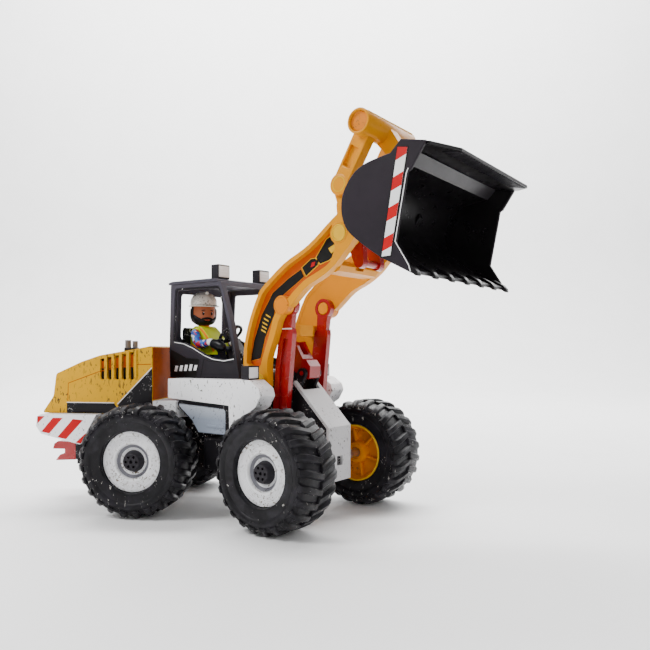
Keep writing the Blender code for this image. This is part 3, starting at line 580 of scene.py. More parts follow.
LUGS = 24
LUG_SKEW = math.radians(8)
LUG_TOP = 2.9
LUG_FOOT = 3.9
LUG_EDGE = 1.1
LUG_STATIONS = [((-1.2, 46.4), (-1.2, 43.8)), ((-0.7, 47.6), (-0.7, 43.8)), ((7, 48), (7, 43.8)),
                ((14, 47.8), (13.5, 43.6)), ((17.8, 46.8), (17, 43)), ((20.6, 44.7), (19.4, 42)),
                ((22.2, 42.8), (20.4, 41.4)), ((22.3, 41.2), (20.4, 40.6))]
CARCASS = [(26.0, 17.0), (26.0, 18.7), (26.6, 20.0), (29, 20.5), (34.5, 20.8), (36.3, 22.0), (38.5, 22.2),
           (40.4, 21.6), (41.0, 20.8), (42.6, 20.5), (44.2, 19.0), (45.1, 16.0), (45.4, 6.0)]
BORE = 4.3
DISH = [(BORE, 9.1), (9.8, 9.9), (14.1, 13.2), (14.1, 13.6), (13.4, 13.4), (9.7, 10.4), (BORE, 9.8)]
HUB_CAP = [(AXIS, 10), (9.3, 10), (9.3, 11.2), (7.9, 15.6), (7.4, 16.9), (6.9, 17.4), (AXIS, 17.4)]
INNER_RIM = [(BORE, -1), (25.7, -1), (25.7, -18.9), (25.0, -19.6), (24.2, -19.4), (23.4, -18.2), (20.6, -11),
             (10.6, -11), (9.6, -17.6), (8.6, -19), (6, -19), (5.4, -17.8), (BORE, -17.8)]
RIM_LIP = [(24.0, -18.4), (25.75, -18.4), (25.75, -19.2), (25.1, -19.9), (24.4, -19.7)]
RIBS = 6
RIB = [(9.5, -1.2), (22.6, -1.2), (22.6, 1.2), (9.5, 1.2)]


def lug_rows(angle, hand):
    """The cross-sections of one lug, from the tyre's middle to its shoulder on one side."""
    rows = []
    for (top_along, top), (foot_along, foot) in LUG_STATIONS:
        turn = angle + LUG_SKEW * top_along / 22
        section = [(-LUG_FOOT, foot, foot_along), (-LUG_TOP, top - LUG_EDGE, top_along),
                   (LUG_EDGE - LUG_TOP, top, top_along), (LUG_TOP - LUG_EDGE, top, top_along),
                   (LUG_TOP, top - LUG_EDGE, top_along), (LUG_FOOT, foot, foot_along)]
        rows.append([(r * math.cos(turn + x / r), r * math.sin(turn + x / r), hand * along)
                     for x, r, along in section])
    return rows


def tyre_mesh():
    profile = [(r, -along) for r, along in CARCASS] + [(r, along) for r, along in CARCASS[::-1]]
    bm = turned_mesh(profile, 96)
    for hand, phase in ((1, 0.0), (-1, 0.5)):
        for i in range(LUGS):
            lug = lug_rows(2 * math.pi * (i + phase) / LUGS, hand)
            rows = [[bm.verts.new(point) for point in row] for row in lug]
            for first, second in zip(rows, rows[1:]):
                for j in range(6):
                    k = (j + 1) % 6
                    bm.faces.new((first[j], first[k], second[k], second[j]))
            bm.faces.new(rows[0])
            bm.faces.new(rows[-1])
    return bm


def disc_profile():
    """The outer rim's face with its fine turned grooves."""
    face = [(BORE, -0.7), (25.7, -0.7), (25.7, 15.3), (25.3, DISC_FACE), (24.6, DISC_FACE)]
    for radius in (24.1, 21.6, 20.1, 18.7, 17.3):
        face += [(radius + 0.3, DISC_FACE), (radius, DISC_FACE - 0.35), (radius - 0.3, DISC_FACE)]
    return face + [(15.6, DISC_FACE), (15.0, 15.3), (14.4, 14.2), (14.2, 13.0), (BORE, 9.0)]


def holes_in_hub():
    """Cutters for the six small holes round a hub cap and the one in its middle."""
    cutters = []
    turns = [i * math.pi / 3 for i in range(6)]
    ring = [(4.6 * math.cos(a), 4.6 * math.sin(a), 1.25) for a in turns]
    for x, y, radius in [(0, 0, 1.5), *ring]:
        bm = turned_mesh([(AXIS, 14.6), (radius, 14.6), (radius, 19), (AXIS, 19)], 14)
        bm.transform(Matrix.Translation((x, y, 0)))
        cutters.append(as_object("hole", bm, Matrix.Identity(4)))
    return cutters


def wheel(prefix, unit, axle_x, side):
    """One wheel, turned about its axle: tyre, outer disc, dish, hub cap and ribbed inner rim."""
    matrix = (UNITS[unit] @ Matrix.Translation((axle_x, side * WHEEL_OUT, WHEEL_RADIUS))
              @ Matrix.Rotation(-side * math.pi / 2, 4, "X"))
    body = prefix + "_wheel"

    def piece(name, bm, look, replaces="", sharp=38):
        made = as_object(prefix + name, bm, matrix)
        return finish(made, body, look, (prefix + replaces,) if replaces else (), sharp)

    piece("_tyre_skin", tyre_mesh(), "rubber", "_tyre", 30)
    piece("_disc_skin", turned_mesh(disc_profile(), 96), "disc", "_wheel_disc", 30)
    # The dish is coloured dark as painted shade in the recess round the hub.
    piece("_dish", turned_mesh(DISH, 64), "dish")
    hub = as_object(prefix + "_hub_skin", turned_mesh(HUB_CAP, 48), Matrix.Identity(4))
    carve(hub, *holes_in_hub())
    hub.data.transform(matrix)
    finish(hub, body, "lamp", (prefix + "_hub_cap",))
    rim = as_object(prefix + "_rim_skin", turned_mesh(INNER_RIM, 72), matrix)
    piece("_rim_lip", turned_mesh(RIM_LIP, 72), "pin")
    ribs = []
    for i in range(RIBS):
        bm = outline_mesh(RIB, -15.2, -10.4, plane="XY")
        bm.transform(Matrix.Rotation(2 * i * math.pi / RIBS + 0.3, 4, "Z"))
        ribs.append(settle(bevel(as_object("rib", bm, matrix), 0.5)))
    finish(together(rim, *ribs), body, "amber", (prefix + "_inner_rim",))


for prefix, unit, axle_x in (("front", "front", 0.0), ("rear", "rear", REAR_AXLE_X)):
    for name, side in SIDES.items():
        wheel(f"{prefix}_{name}", unit, axle_x, side)


# ---------------------------------------------------------------- loader arms and linkage

ARM_REAR = [(-62.3, 129.3), (-60.8, 148.1), (-54.4, 169.6), (-46.2, 187.2), (-39.6, 196.1), (-16.6, 213.7),
            (4.5, 224.2), (16.6, 232.1), (26.6, 240.1), (35.8, 247), (44, 252.6), (54, 257), (63, 258.2)]
ARM_FRONT = [(71.5, 247.6), (62, 238), (51.1, 224.7), (44.9, 218.2), (35.6, 208.8), (22.8, 200.5),
             (7.9, 193.5), (-6.6, 181.2), (-20.6, 169.5), (-25, 158), (-28.7, 148.4), (-34.2, 134.4),
             (-34.6, 122)]
POCKET_REAR = [(-58.2, 131), (-57, 148), (-50.8, 168.2), (-43, 185), (-37, 193.2), (-15, 210), (6, 220.8),
               (18.4, 229), (28.2, 236.6), (33, 241)]
POCKET_FRONT = [(36, 222.5), (31, 211.6), (20, 205.2), (4.6, 198.2), (-10.6, 186), (-26, 172), (-30.6, 160),
                (-34.2, 150), (-40, 135.4), (-43, 128), (-52, 127)]
STRIP = [(-57.9, 132.7), (-57.2, 137.1), (-54.2, 150.5), (-45.2, 172.5), (-32.8, 190.7), (-15.9, 201.6),
         (-2.2, 208.6), (1.1, 202.6), (-4.9, 198.7), (-14.5, 192.9), (-28.5, 183.9), (-31.4, 172.1),
         (-41.6, 152.6), (-46.7, 135)]
DASHES = [(-37.9, 171.2), (-40.1, 168), (-41.6, 164.7), (-42.3, 161.4), (-43.3, 158.4)]
LOZENGE = [(-0.9, 210.1), (3.1, 203), (15, 211), (15.6, 214), (12.4, 216.4), (8.4, 216.2)]
BLOCK = [(13.7, 217.3), (24, 230.8), (27.8, 232.5), (40.2, 223.1), (26.5, 214.2), (17.6, 211.8)]
SQUARE = [(25.9, 223.4), (31.5, 226), (34, 222.7), (29, 219.1)]
WEB_FACE = 30.2

# Each row: name, place, radius, distances from the middle, look
BOSSES = (
    ("elbow_boss", STRUT_EYE, 8.0, 28.5, 37, "amber"),
    ("lever_boss", LEVER_PIVOT, 8.6, 28.5, 36.4, "yellow"),
    ("lever_pin", LEVER_PIVOT, 6.9, 30, 37, "pin"),
    ("tip_pin", BUCKET_PIVOT, 3.6, 30, 36.5, "pin"),
    ("foot_pin", LIFT_PIVOT, 6.0, 30, 36.6, "pin"),
)
# Each row: name, outline, height above the web, thickness, look
ARM_MARKS = (
    ("arm_strip", STRIP, 0.3, 0.2, "shadow"),
    ("lozenge_edge", grown(LOZENGE, 0.7), 0, 0.3, "pin"),
    ("lozenge", LOZENGE, 0.3, 0.15, "shadow"),
    ("lozenge_mark", [(8.0, 209.6), (9.4, 213.4), (12.8, 213.9), (11.9, 210.6)], 0.45, 0.15, "stripe"),
    ("block_edge", grown(BLOCK, 0.7), 0, 0.3, "pin"),
    ("block", BLOCK, 0.3, 0.15, "shadow"),
    ("square", SQUARE, 0.45, 0.15, "pin"),
)
STRUT_RING = [(-26.8, 159.6), (-14.2, 159.6), (-14.2, 160.6), (-26.8, 160.6)]


def boss(name, at, radius, low, high, side, look, body="arms"):
    """A round boss or pin head whose outer face is slightly dished inside a rim."""
    profile = [(AXIS, low), (radius, low), (radius, high - 0.6), (radius - 0.5, high), (radius - 1.3, high),
               (radius - 1.7, high - 0.5), (AXIS, high - 0.4)]
    return finish(along_y(name, profile, at, side), body, look)


def loader_arm(name, side):
    """A channel-shaped arm: a raised flange round a web whose outer face carries orange painted shade, with
    its printed marks and bosses.
    """
    tip = arc(BUCKET_PIVOT, 5.5, 75, -160, 8)
    foot = arc(LIFT_PIVOT, 10.5, -25, -140, 9)
    outline = smooth(ARM_REAR, 3) + tip + smooth(ARM_FRONT, 3) + foot
    pocket = smooth(POCKET_REAR, 3) + smooth(POCKET_FRONT, 3)
    sheet(name + "_arm_flange", outline, mirrored(side, 28, 36), "arms", "yellow", (0.9, 3, 40),
          (name + "_loader_arm",), 50, holes=(pocket,))
    sheet(name + "_arm_web", grown(pocket, 0.4), mirrored(side, 28.3, WEB_FACE - 0.3), "arms", "yellow")
    # A thin orange skin on the web's outer face is painted shade in the pocket between the flanges.
    sheet(name + "_arm_web_painted_shade", grown(pocket, 0.2), mirrored(side, WEB_FACE - 0.3, WEB_FACE), "arms", "web")
    for part, at, radius, low, high, look in BOSSES:
        boss(f"{name}_{part}", at, radius, low, high, side, look)
    finish(disc(name + "_elbow_stub", STRUT_EYE, 5.5, *mirrored(side, 21.6, 29.5)), "arms", "yellow")
    finish(disc(name + "_foot_stub", LIFT_PIVOT, 4.5, *mirrored(side, 22.5, 29.5)), "arms", "yellow")
    bevel(thin(name + "_arm_strip_edge", grown(STRIP, 0.6), side, WEB_FACE, 0.3, "arms", "amber"), 0.1, 2)
    for part, outline, lift, height, look in ARM_MARKS:
        thin(f"{name}_{part}", outline, side, WEB_FACE + lift, height, "arms", look)
    for number, (x, z) in enumerate(DASHES):
        dash = [(x - 2.7, z + 1.9), (x - 2.5, z + 0.5), (x + 2.7, z - 1.9), (x + 2.5, z - 0.5)]
        thin(f"{name}_dash_{number}", dash, side, WEB_FACE + 0.5, 0.2, "arms", "pin")


for name, side in SIDES.items():
    loader_arm(name, side)
    boss(name + "_link_pin", LEVER_TOP, 6.5, 23, 26.6, side, "pin", "tilt_lever")
    # A thin white line across each strut is a painted highlight along a joint.
    thin(name + "_strut_joint_highlight", STRUT_RING, side, 27.6, 0.15, name + "_strut", "edge", "red_plastic")

TUBE = [(AXIS, -32.6), (8, -32.6), (8, -36.6), (8.4, -37), (9.5, -37), (10, -36.5), (10, 36.5), (9.5, 37),
        (8.4, 37), (8, 36.6), (8, 32.6), (AXIS, 32.6)]
TUBE_END = [(AXIS, 32.4), (7.9, 32.4), (7.9, 34.6), (7.4, 34.9), (6.6, 34.2), (AXIS, 34.2)]
LINK_CHANNEL = [(36.5, 290), (45.0, 304.5), (52, 300.2), (43.4, 285.6)]
TUBE_RIDGE = [(64.4, 324.2), (65.6, 325.2), (66.9, 323.9), (65.8, 322.8)]


def link_frame():
    """The upper link: two channelled bars that hang from a cross tube, and a tab that holds the bucket."""
    body = "tilt_link"
    finish(along_y("link_tube", TUBE, TUBE_AT, 1, 72), body, "yellow", ("tilt_link_frame",), 50)
    for name, side in SIDES.items():
        bar = plate(name + "_link_bar", hull(arc(LEVER_TOP, 7.0, 0, 345, 24), arc(TUBE_AT, 7.2, 0, 345, 24)),
                    *mirrored(side, 16.3, 26.3))
        carve(bar, plate("channel", LINK_CHANNEL, *mirrored(side, 23.0, 30)))
        finish(bevel(bar, 0.8, 3, 40), body, "yellow", sharp=50)
        finish(disc(name + "_link_eye", LEVER_TOP, 9.0, *mirrored(side, 16.3, 26.4), rim=1.2), body, "yellow")
        finish(along_y(name + "_tube_end", TUBE_END, TUBE_AT, side), body, "amber")
    tab = hull(arc(TUBE_AT, 8.5, 0, 345, 24), arc(BUCKET_EYE, 5.2, 0, 345, 20))
    sheet("link_tab", tab, (-6, 6), body, "yellow", (0.8, 3, 40), sharp=50)
    sheet("tube_ridge", TUBE_RIDGE, (-34, 34), body, "pin", (0.3, 2))
    finish(disc("link_tab_pin", BUCKET_EYE, 2.0, -12.2, 12.2, rim=0.3), body, "yellow")


link_frame()

# ---------------------------------------------------------------- bucket

BACK_OUT = smooth([(105.6, 203.9), (92.0, 213.2), (79.4, 223.6), (74.4, 232.2), (72.8, 242.4), (75, 252.9),
                   (82.6, 263.4), (92.2, 269), (105.6, 271.9), (112.6, 272.9)], 4)
BACK_IN = smooth([(107, 206.1), (93.2, 215.6), (81.4, 225.4), (77, 233), (75.4, 242.4), (77.4, 251.6),
                  (84.4, 260.9), (93.2, 266.3), (106.2, 269.1), (114.2, 270.3)], 4)
BUCKET_WALL = BACK_OUT + [(120.5, 280.8), (139.5, 276.6), (128.2, 259.6), (125.8, 258.3), (117.1, 213.7),
                          (127.3, 197.5), (128.7, 192)]
SHELL = ([(128.7, 192.0)] + BACK_OUT + [(120.5, 280.8), (139.5, 276.6), (154.8, 273.1), (154.8, 270.9),
                                        (137, 274.7), (121.6, 277.8)]
         + BACK_IN[::-1] + [(130.0, 194.2)])
BAND = [(118.5, 275.6), (125.8, 274.2), (112.9, 204.8), (106.2, 204.6)]
WALL_EDGE = [(126.4, 260.5), (125.0, 257.8), (116.5, 213.8), (126.6, 197.6), (128.0, 193.2)]
BAND_ALONG = (-0.353, 0.936)
BAND_TOP = 220.0
BAND_FIRST = 208.6
BAND_WHITE = 9.6
BAND_RED = 7.6
BAND_END = 150
FACET = [(114.6, 270.0), (121.9, 277.3), (122.3, 276.9), (115.0, 269.6)]
LIP_EDGE = [(154.4, 273.3), (155.2, 273.1), (155.2, 270.7), (154.4, 270.9)]
GUARD_RIBS = 29
GUARD_PITCH = 4.2
GUARD_RIB = [(140.5, 274.0), (154.3, 271.0), (154.3, 270.2), (140.5, 273.4)]
TEETH = 7
TOOTH = [(119, 197.2), (119.4, 200.6), (122.4, 200.6), (129.9, 196.2), (132.4, 193.0), (132.9, 190.2),
         (131.2, 190.2), (129, 191.9)]
TOOTH_PITCH = 25.6


def bucket():
    """The open bucket: its bent shell, side walls with striped bands, ears, ribbed guard and teeth."""
    body = "bucket_body"
    shell = plate("bucket_shell", SHELL, -78, 78)
    corners = [plate("guard_corner", [(139.4, side * 81), (139.4, side * 80), (154.9, side * 62),
                                      (160, side * 62), (160, side * 81)], 260, 290, plane="XY")
               for side in SIDES.values()]
    carve(shell, *corners)
    finish(bevel(shell, 0.35, 2, 40), body, "bucket_in", ("bucket",), 30)
    for name, side in SIDES.items():
        sheet(name + "_bucket_wall", BUCKET_WALL, mirrored(side, 77.9, 80), body, "bucket_out", (0.6, 3, 30),
              sharp=40)
        sheet(name + "_bucket_liner", grown(BUCKET_WALL, -0.4), mirrored(side, 77.4, 77.9), body, "bucket_in")
        ear = hull(circle(BUCKET_PIVOT, 5.5, 24), [(76.5, 259), (80, 250), (75.5, 244)])
        sheet(name + "_bucket_ear", ear, mirrored(side, 22, 27.4), body, "bucket_in", (0.5,))
        stub = disc(name + "_bucket_stub", BUCKET_PIVOT, 2.0, *mirrored(side, 22, 33.3), rim=0.3)
        finish(stub, body, "steel")
        link_ear = hull(circle(BUCKET_EYE, 8.0, 24), [(93, 266.8), (103, 270.2), (98, 275)])
        sheet(name + "_link_ear", link_ear, mirrored(side, 6.5, 12), body, "bucket_in", (0.4, 2, 50),
              holes=(circle(BUCKET_EYE, 5.9, 24),))
        # A black border round the white band is painted shade in the groove that holds it.
        bevel(thin(name + "_band_groove_shade", grown(BAND, 1.0), side, 79.6, 0.5, body, "shadow"), 0.2, 2)
        thin(name + "_band_white", BAND, side, 80.0, 0.2, body, "edge")
        # A white line along the side wall's front edge is a painted highlight.
        thin(name + "_wall_edge_highlight", ribbon(WALL_EDGE, 0.6), side, 79.9, 0.2, body, "edge")
        top, low, number = BAND_TOP, BAND_FIRST, 0
        while top > BAND_END:
            part = clipped(BAND, BAND_ALONG, low, top)
            if len(part) > 2:
                thin(f"{name}_band_red_{number}", part, side, 80.2, 0.08, body, "stripe")
            number += 1
            top = low - BAND_WHITE
            low = top - BAND_RED
    # The facet inside the shell, the lip's edge and the guard's ribs are a lighter grey as painted highlight.
    sheet("bucket_facet", FACET, (-77.2, 77.2), body, "facet")
    sheet("bucket_lip_edge", LIP_EDGE, (-61, 61), body, "facet", (0.2, 2))
    for i in range(GUARD_RIBS):
        y = (i - (GUARD_RIBS - 1) // 2) * GUARD_PITCH
        sheet(f"guard_rib_{i}", GUARD_RIB, (y - 0.6, y + 0.6), body, "facet", (0.2, 2))
    for i in range(TEETH):
        y = (i - (TEETH - 1) / 2) * TOOTH_PITCH
        sheet(f"bucket_tooth_{i}", TOOTH, (y - 3, y + 3), body, "bucket_in", (0.8, 3))


bucket()

# ---------------------------------------------------------------- cab

CAB = [(-153.5, 115.8), (-154.7, 146.6), (-152.8, 203.4), (-85.9, 203.4), (-72.6, 164.3), (-62.9, 115.8)]
CAB_ROOM = [(-150.9, 118.3), (-152.1, 146.6), (-150.3, 210), (-90.6, 210), (-75.3, 164), (-66, 118.3)]
WINDOW = [(-147.1, 150.4), (-144.5, 197.9), (-89.3, 197.4), (-79.2, 164.5), (-70.5, 135.3), (-82, 133.6),
          (-95, 134.8), (-106.4, 138.3), (-122, 145), (-134, 149)]
SCREEN = [(-100, 200), (-83, 200), (-55, 128), (-75, 128)]
BACK_WINDOW = [(-28, 152), (28, 152), (28, 196), (-28, 196)]
SILL = [(-69.8, 134.2), (-82, 132.4), (-95.3, 133.6), (-107, 137.1), (-122.5, 143.9), (-134.4, 147.8),
        (-147.6, 149.4)]
DOOR_LINE = [(-112, 117), (-107.5, 133.5), (-98, 131.6), (-70.5, 131.0)]
SIGN = [(-153.0, 143.1), (-130, 134.5), (-113.5, 133.9), (-118.2, 117.3), (-153.0, 116.6)]
SIGN_BARS = [(-147.5, 5.2), (-140.5, 5.4), (-134.0, 5.6), (-127.5, 5.8), (-121.0, 5.0)]
LAMP_MIDDLE = 27.5
LOW_LAMP_MIDDLE = 50.2


def cab():
    """The cab moulding with its room, windows and seals, the printed sign, and details of the lamps."""
    body = "front_frame"
    shell = plate("cab_shell", CAB, -CAB_HALF, CAB_HALF)
    back = outline_mesh(rounded(BACK_WINDOW, 4), -160, -146, plane="YZ")
    cutters = [plate("room", CAB_ROOM, -37.5, 37.5), plate("window", rounded(WINDOW, 3.0), -45, 45),
               plate("screen", rounded(SCREEN, 2), -34.5, 34.5)]
    cutters += [plate("recess", rounded(grown(WINDOW, 2.4), 4.0), *mirrored(side, 39.0, 45))
                for side in SIDES.values()]
    carve(shell, *cutters, as_object("back_window", back, UNITS["front"]))
    finish(bevel(shell, 0.6, 3, 35), body, "cab", ("cab_frame",), 45)
    for name, side in SIDES.items():
        seal, glass = rounded(grown(WINDOW, 1.9), 3.8), rounded(grown(WINDOW, 0.2), 3.0)
        sheet(name + "_window_seal", seal, mirrored(side, 38.2, 39.4), body, "black", (0.25, 2, 50),
              holes=(glass,))
        # A white line along the window's sill is a painted highlight.
        thin(name + "_sill_highlight", ribbon(SILL, 0.7), side, CAB_HALF - 0.05, 0.15, body, "edge")
        thin(name + "_sign", SIGN, side, CAB_HALF, 0.2, body, "shadow")
        for number, (x, height) in enumerate(SIGN_BARS):
            low = 122.0 + 0.05 * (x + 147)
            bar = [(x, low), (x + 3.6, low), (x + 5.4, low + height), (x + 1.8, low + height)]
            thin(f"{name}_sign_bar_{number}", bar, side, CAB_HALF + 0.2, 0.12, body, "edge")
        thin(name + "_door_line", ribbon(DOOR_LINE, 0.6), side, CAB_HALF - 0.05, 0.15, body, "shadow")
        y = side * LAMP_MIDDLE
        for number, z in enumerate((211.0, 213.6, 216.2)):
            low, high = z - 0.3, z + 0.3
            line = rounded([(y - 5.6, low), (y + 5.6, low), (y + 5.6, high), (y - 5.6, high)], 0.2)
            bar = as_object(f"{name}_lens_bar_{number}", outline_mesh(line, -94.1, -93.8, plane="YZ"),
                            UNITS["front"])
            finish(bar, body, "edge")
        foot = box(name + "_lamp_foot", (-101.0, y - 3, 206.3), (-97, y + 3, 207.4))
        finish(bevel(foot, 0.3, 2), body, "lamp")
        low_y = side * LOW_LAMP_MIDDLE
        lens = box(name + "_low_lens", (-37.8, low_y - 5.7, 118.5), (-36.9, low_y + 5.7, 127.8))
        finish(bevel(lens, 0.3, 2), body, "lens")


# ---------------------------------------------------------------- driver

HEAD = (-136.5, SEAT_LINE, 164.9)
FACE_TURN = math.radians(-23)
HEAD_PROFILE = [(AXIS, 0.4), (4.6, 0.4), (6.6, 1.4), (8.8, 3.6), (10.4, 6.6), (11.1, 10.0), (11.2, 14.0),
                (10.9, 18.0), (10.6, 19.6), (AXIS, 19.6)]
CROWN = [(12.7, 23.0), (12.1, 26.2), (10.4, 29.4), (7.6, 31.5), (4.0, 32.5)]
CREST = [(-10.5, -1.2), (-10.5, 1.2), (-6, 1.5), (6, 1.5), (10.5, 1.2), (10.5, -1.2), (6, -1.5), (-6, -1.5)]
HAT_STEPS = 72


def head_matrix():
    return UNITS["front"] @ Matrix.Translation(HEAD) @ Matrix.Rotation(FACE_TURN, 4, "Z")


def head_radius(z):
    """How far the head's skin is from its axis at a height above the neck."""
    line = HEAD_PROFILE[1:-1]
    for (r1, z1), (r2, z2) in zip(line, line[1:]):
        if z1 <= z <= z2:
            return r1 + (r2 - r1) * (z - z1) / max(z2 - z1, 1e-6)
    return line[-1][0]


def capped(rows):
    """A bmesh from rows of rings, with both ends closed."""
    bm = grid_mesh(rows, closed_columns=True)
    bmesh.ops.holes_fill(bm, edges=[edge for edge in bm.edges if edge.is_boundary])
    return bm


def on_head(name, low, high, span, thickness, look, steps=18, levels=6):
    """A patch laid on the head between two edges; low and high give its heights at each angle in degrees."""
    inner, outer = [], []
    for i in range(steps + 1):
        angle = span[0] + (span[1] - span[0]) * i / steps
        c, s = math.cos(math.radians(angle)), math.sin(math.radians(angle))
        inner.append([])
        outer.append([])
        for j in range(levels + 1):
            z = low(angle) + (high(angle) - low(angle)) * j / levels
            edge = 1.0 if 0 < j < levels and 0 < i < steps else 0.35
            near, far = head_radius(z) - 0.3, head_radius(z) + thickness * edge
            inner[-1].append((near * c, near * s, z))
            outer[-1].append((far * c, far * s, z))
    bm = capped([a + b[::-1] for a, b in zip(outer, inner)])
    return finish(as_object(name, bm, head_matrix()), "driver_head_body", look, sharp=60)


def spot(name, angle, z, wide, high, thickness, look, lift=0.0):
    """An oval mark on the face."""
    half = math.degrees(wide / 2 / head_radius(z))

    def edge(sign):
        return lambda a: (z + lift * (a - angle)
                          + sign * high / 2 * math.sqrt(max(0.02, 1 - ((a - angle) / half) ** 2)))

    return on_head(name, edge(-1), edge(1), (angle - half, angle + half), thickness, look, 10, 3)


def hard_hat():
    """The helmet's mesh: a brim that reaches forward, a ridge over the crown, and a closed underside."""
    rows = []
    for i in range(HAT_STEPS):
        angle = 2 * math.pi * i / HAT_STEPS
        c, s = math.cos(angle), math.sin(angle)
        front = max(0.0, c) ** 2
        brim = 14.6 + 1.8 * front
        dip = 0.7 * front
        ridge = 0.55 * max(0.0, 1 - abs(s) * 4.0)
        under = [(AXIS, 18.9), (12.0, 18.9), (brim - 0.5, 18.9 - dip), (brim, 19.4 - dip),
                 (brim - 0.5, 19.9 - dip), (12.6, 20.6)]
        rows.append([(r * c, r * s, z) for r, z in under]
                    + [((r + ridge) * c, (r + ridge) * s, z + ridge * 0.4) for r, z in CROWN]
                    + [(AXIS * c, AXIS * s, 32.9)])
    return grid_mesh(rows, closed_rows=True, closed_columns=True)


def driver_head():
    """A toy's plain head: face, beard, hair, moustache, eyes, brows, mouth and hard hat."""
    body = "driver_head_body"
    finish(as_object("driver_face", turned_mesh(HEAD_PROFILE, 64), head_matrix()), body, "skin",
           ("driver_head",), 60)
    on_head("driver_beard", lambda a: 1.1, lambda a: 5.2 + 5.6 * min(1.0, abs(a) / 70) ** 1.6,
            (-98, 98), 1.5, "hair", 32)
    on_head("driver_hair", lambda a: 1.8, lambda a: 18.8, (80, 280), 2.0, "hair", 32)
    on_head("driver_moustache", lambda a: 6.5 - 0.0011 * a * a, lambda a: 8.4 - 0.0012 * a * a,
            (-30, 30), 1.7, "hair", 14, 3)
    spot("driver_mouth", 0, 5.6, 5.0, 1.3, 1.8, "mouth")
    for side in SIDES.values():
        eye_angle = side * 22
        spot(f"driver_eye_{side + 1}", eye_angle, 11.9, 2.1, 3.3, 0.35, "hair")
        spot(f"driver_glint_{side + 1}", eye_angle + 2.4, 12.8, 0.6, 0.8, 0.5, "cuff")
        spot(f"driver_brow_{side + 1}", eye_angle, 15.0, 4.0, 0.9, 0.5, "hair", side * -0.02)
    finish(as_object("driver_hard_hat", hard_hat(), head_matrix()), body, "helmet", ("driver_helmet",), 40)
    crest = as_object("driver_hat_crest", outline_mesh(rounded(CREST, 0.8), 30.2, 33.0, plane="XY"),
                      head_matrix())
    finish(bevel(crest, 0.7, 3), body, "helmet")


TORSO = [(-143.2, 137.6), (-144.8, 150), (-143.6, 160), (-139.5, 165.0), (-130.5, 165.0), (-125.4, 161),
         (-114.5, 150), (-107, 139.5), (-107, 137.6)]
LEGS = [(-143.2, 137.6), (-142.5, 139.5), (-124.5, 144.2), (-110, 145.8), (-105.8, 143), (-102.5, 124.5),
        (-96.5, 123.2), (-96, 118.8), (-112.4, 118.8), (-113, 137.6), (-143.2, 137.6)]
VEST_BANDS = [[(-130.5, 162.8), (-124.5, 157.5), (-118.5, 150), (-112.0, 140.5)],
              [(-142.0, 146.5), (-134.0, 144.5), (-124.0, 146.0)]]
# Each row: part, look, and stations as (x, distance outwards from the seat's line, z, radius)
ARM_PARTS = (
    ("sleeve", "sleeve", [(-133.2, 13.8, 157.4, 4.6), (-130.6, 14.4, 151.4, 4.5), (-127.0, 14.4, 147.8, 4.3),
                          (-120.6, 14.4, 148.0, 3.8), (-114.2, 14.4, 149.2, 3.2)]),
    ("cuff", "cuff", [(-113.4, 14.4, 149.3, 3.4), (-110.4, 14.4, 149.2, 3.4)]),
    ("glove", "glove", [(-107.6, 14.4, 147.9, 4.4), (-102.0, 14.4, 146.6, 5.0), (-97.2, 14.4, 145.0, 4.4)]),
    ("thumb", "glove", [(-104.0, 12.2, 150.6, 1.7), (-100.2, 11.8, 151.4, 1.5)]),
)
DOME = ((0.97, 0.2), (0.8, 0.6), (0.45, 0.9))
LIMB_SIDES = 20
LIMB_FLAT = 0.86


def limb(name, points, body, look, replaces=()):
    """A limb through (x, y, z, radius) stations, slightly flat from side to side, with domed ends."""
    stations = [(Vector(point[:3]), point[3]) for point in points]
    (first, first_radius), (last, last_radius) = stations[0], stations[-1]
    start = (stations[1][0] - first).normalized()
    end = (last - stations[-2][0]).normalized()
    full = [(first - start * first_radius * out, first_radius * size) for out, size in DOME]
    full += stations
    full += [(last + end * last_radius * out, last_radius * size) for out, size in DOME[::-1]]
    rows = []
    for i, (at, radius) in enumerate(full):
        along = (full[min(len(full) - 1, i + 1)][0] - full[max(0, i - 1)][0]).normalized()
        up = along.cross(Vector((0, 1, 0))).normalized()
        across = up.cross(along)
        turns = [2 * math.pi * k / LIMB_SIDES for k in range(LIMB_SIDES)]
        ring = [across * math.cos(a) * LIMB_FLAT + up * math.sin(a) for a in turns]
        rows.append([tuple(at + outwards * radius) for outwards in ring])
    return finish(as_object(name, capped(rows), UNITS["front"]), body, look, replaces, 70)


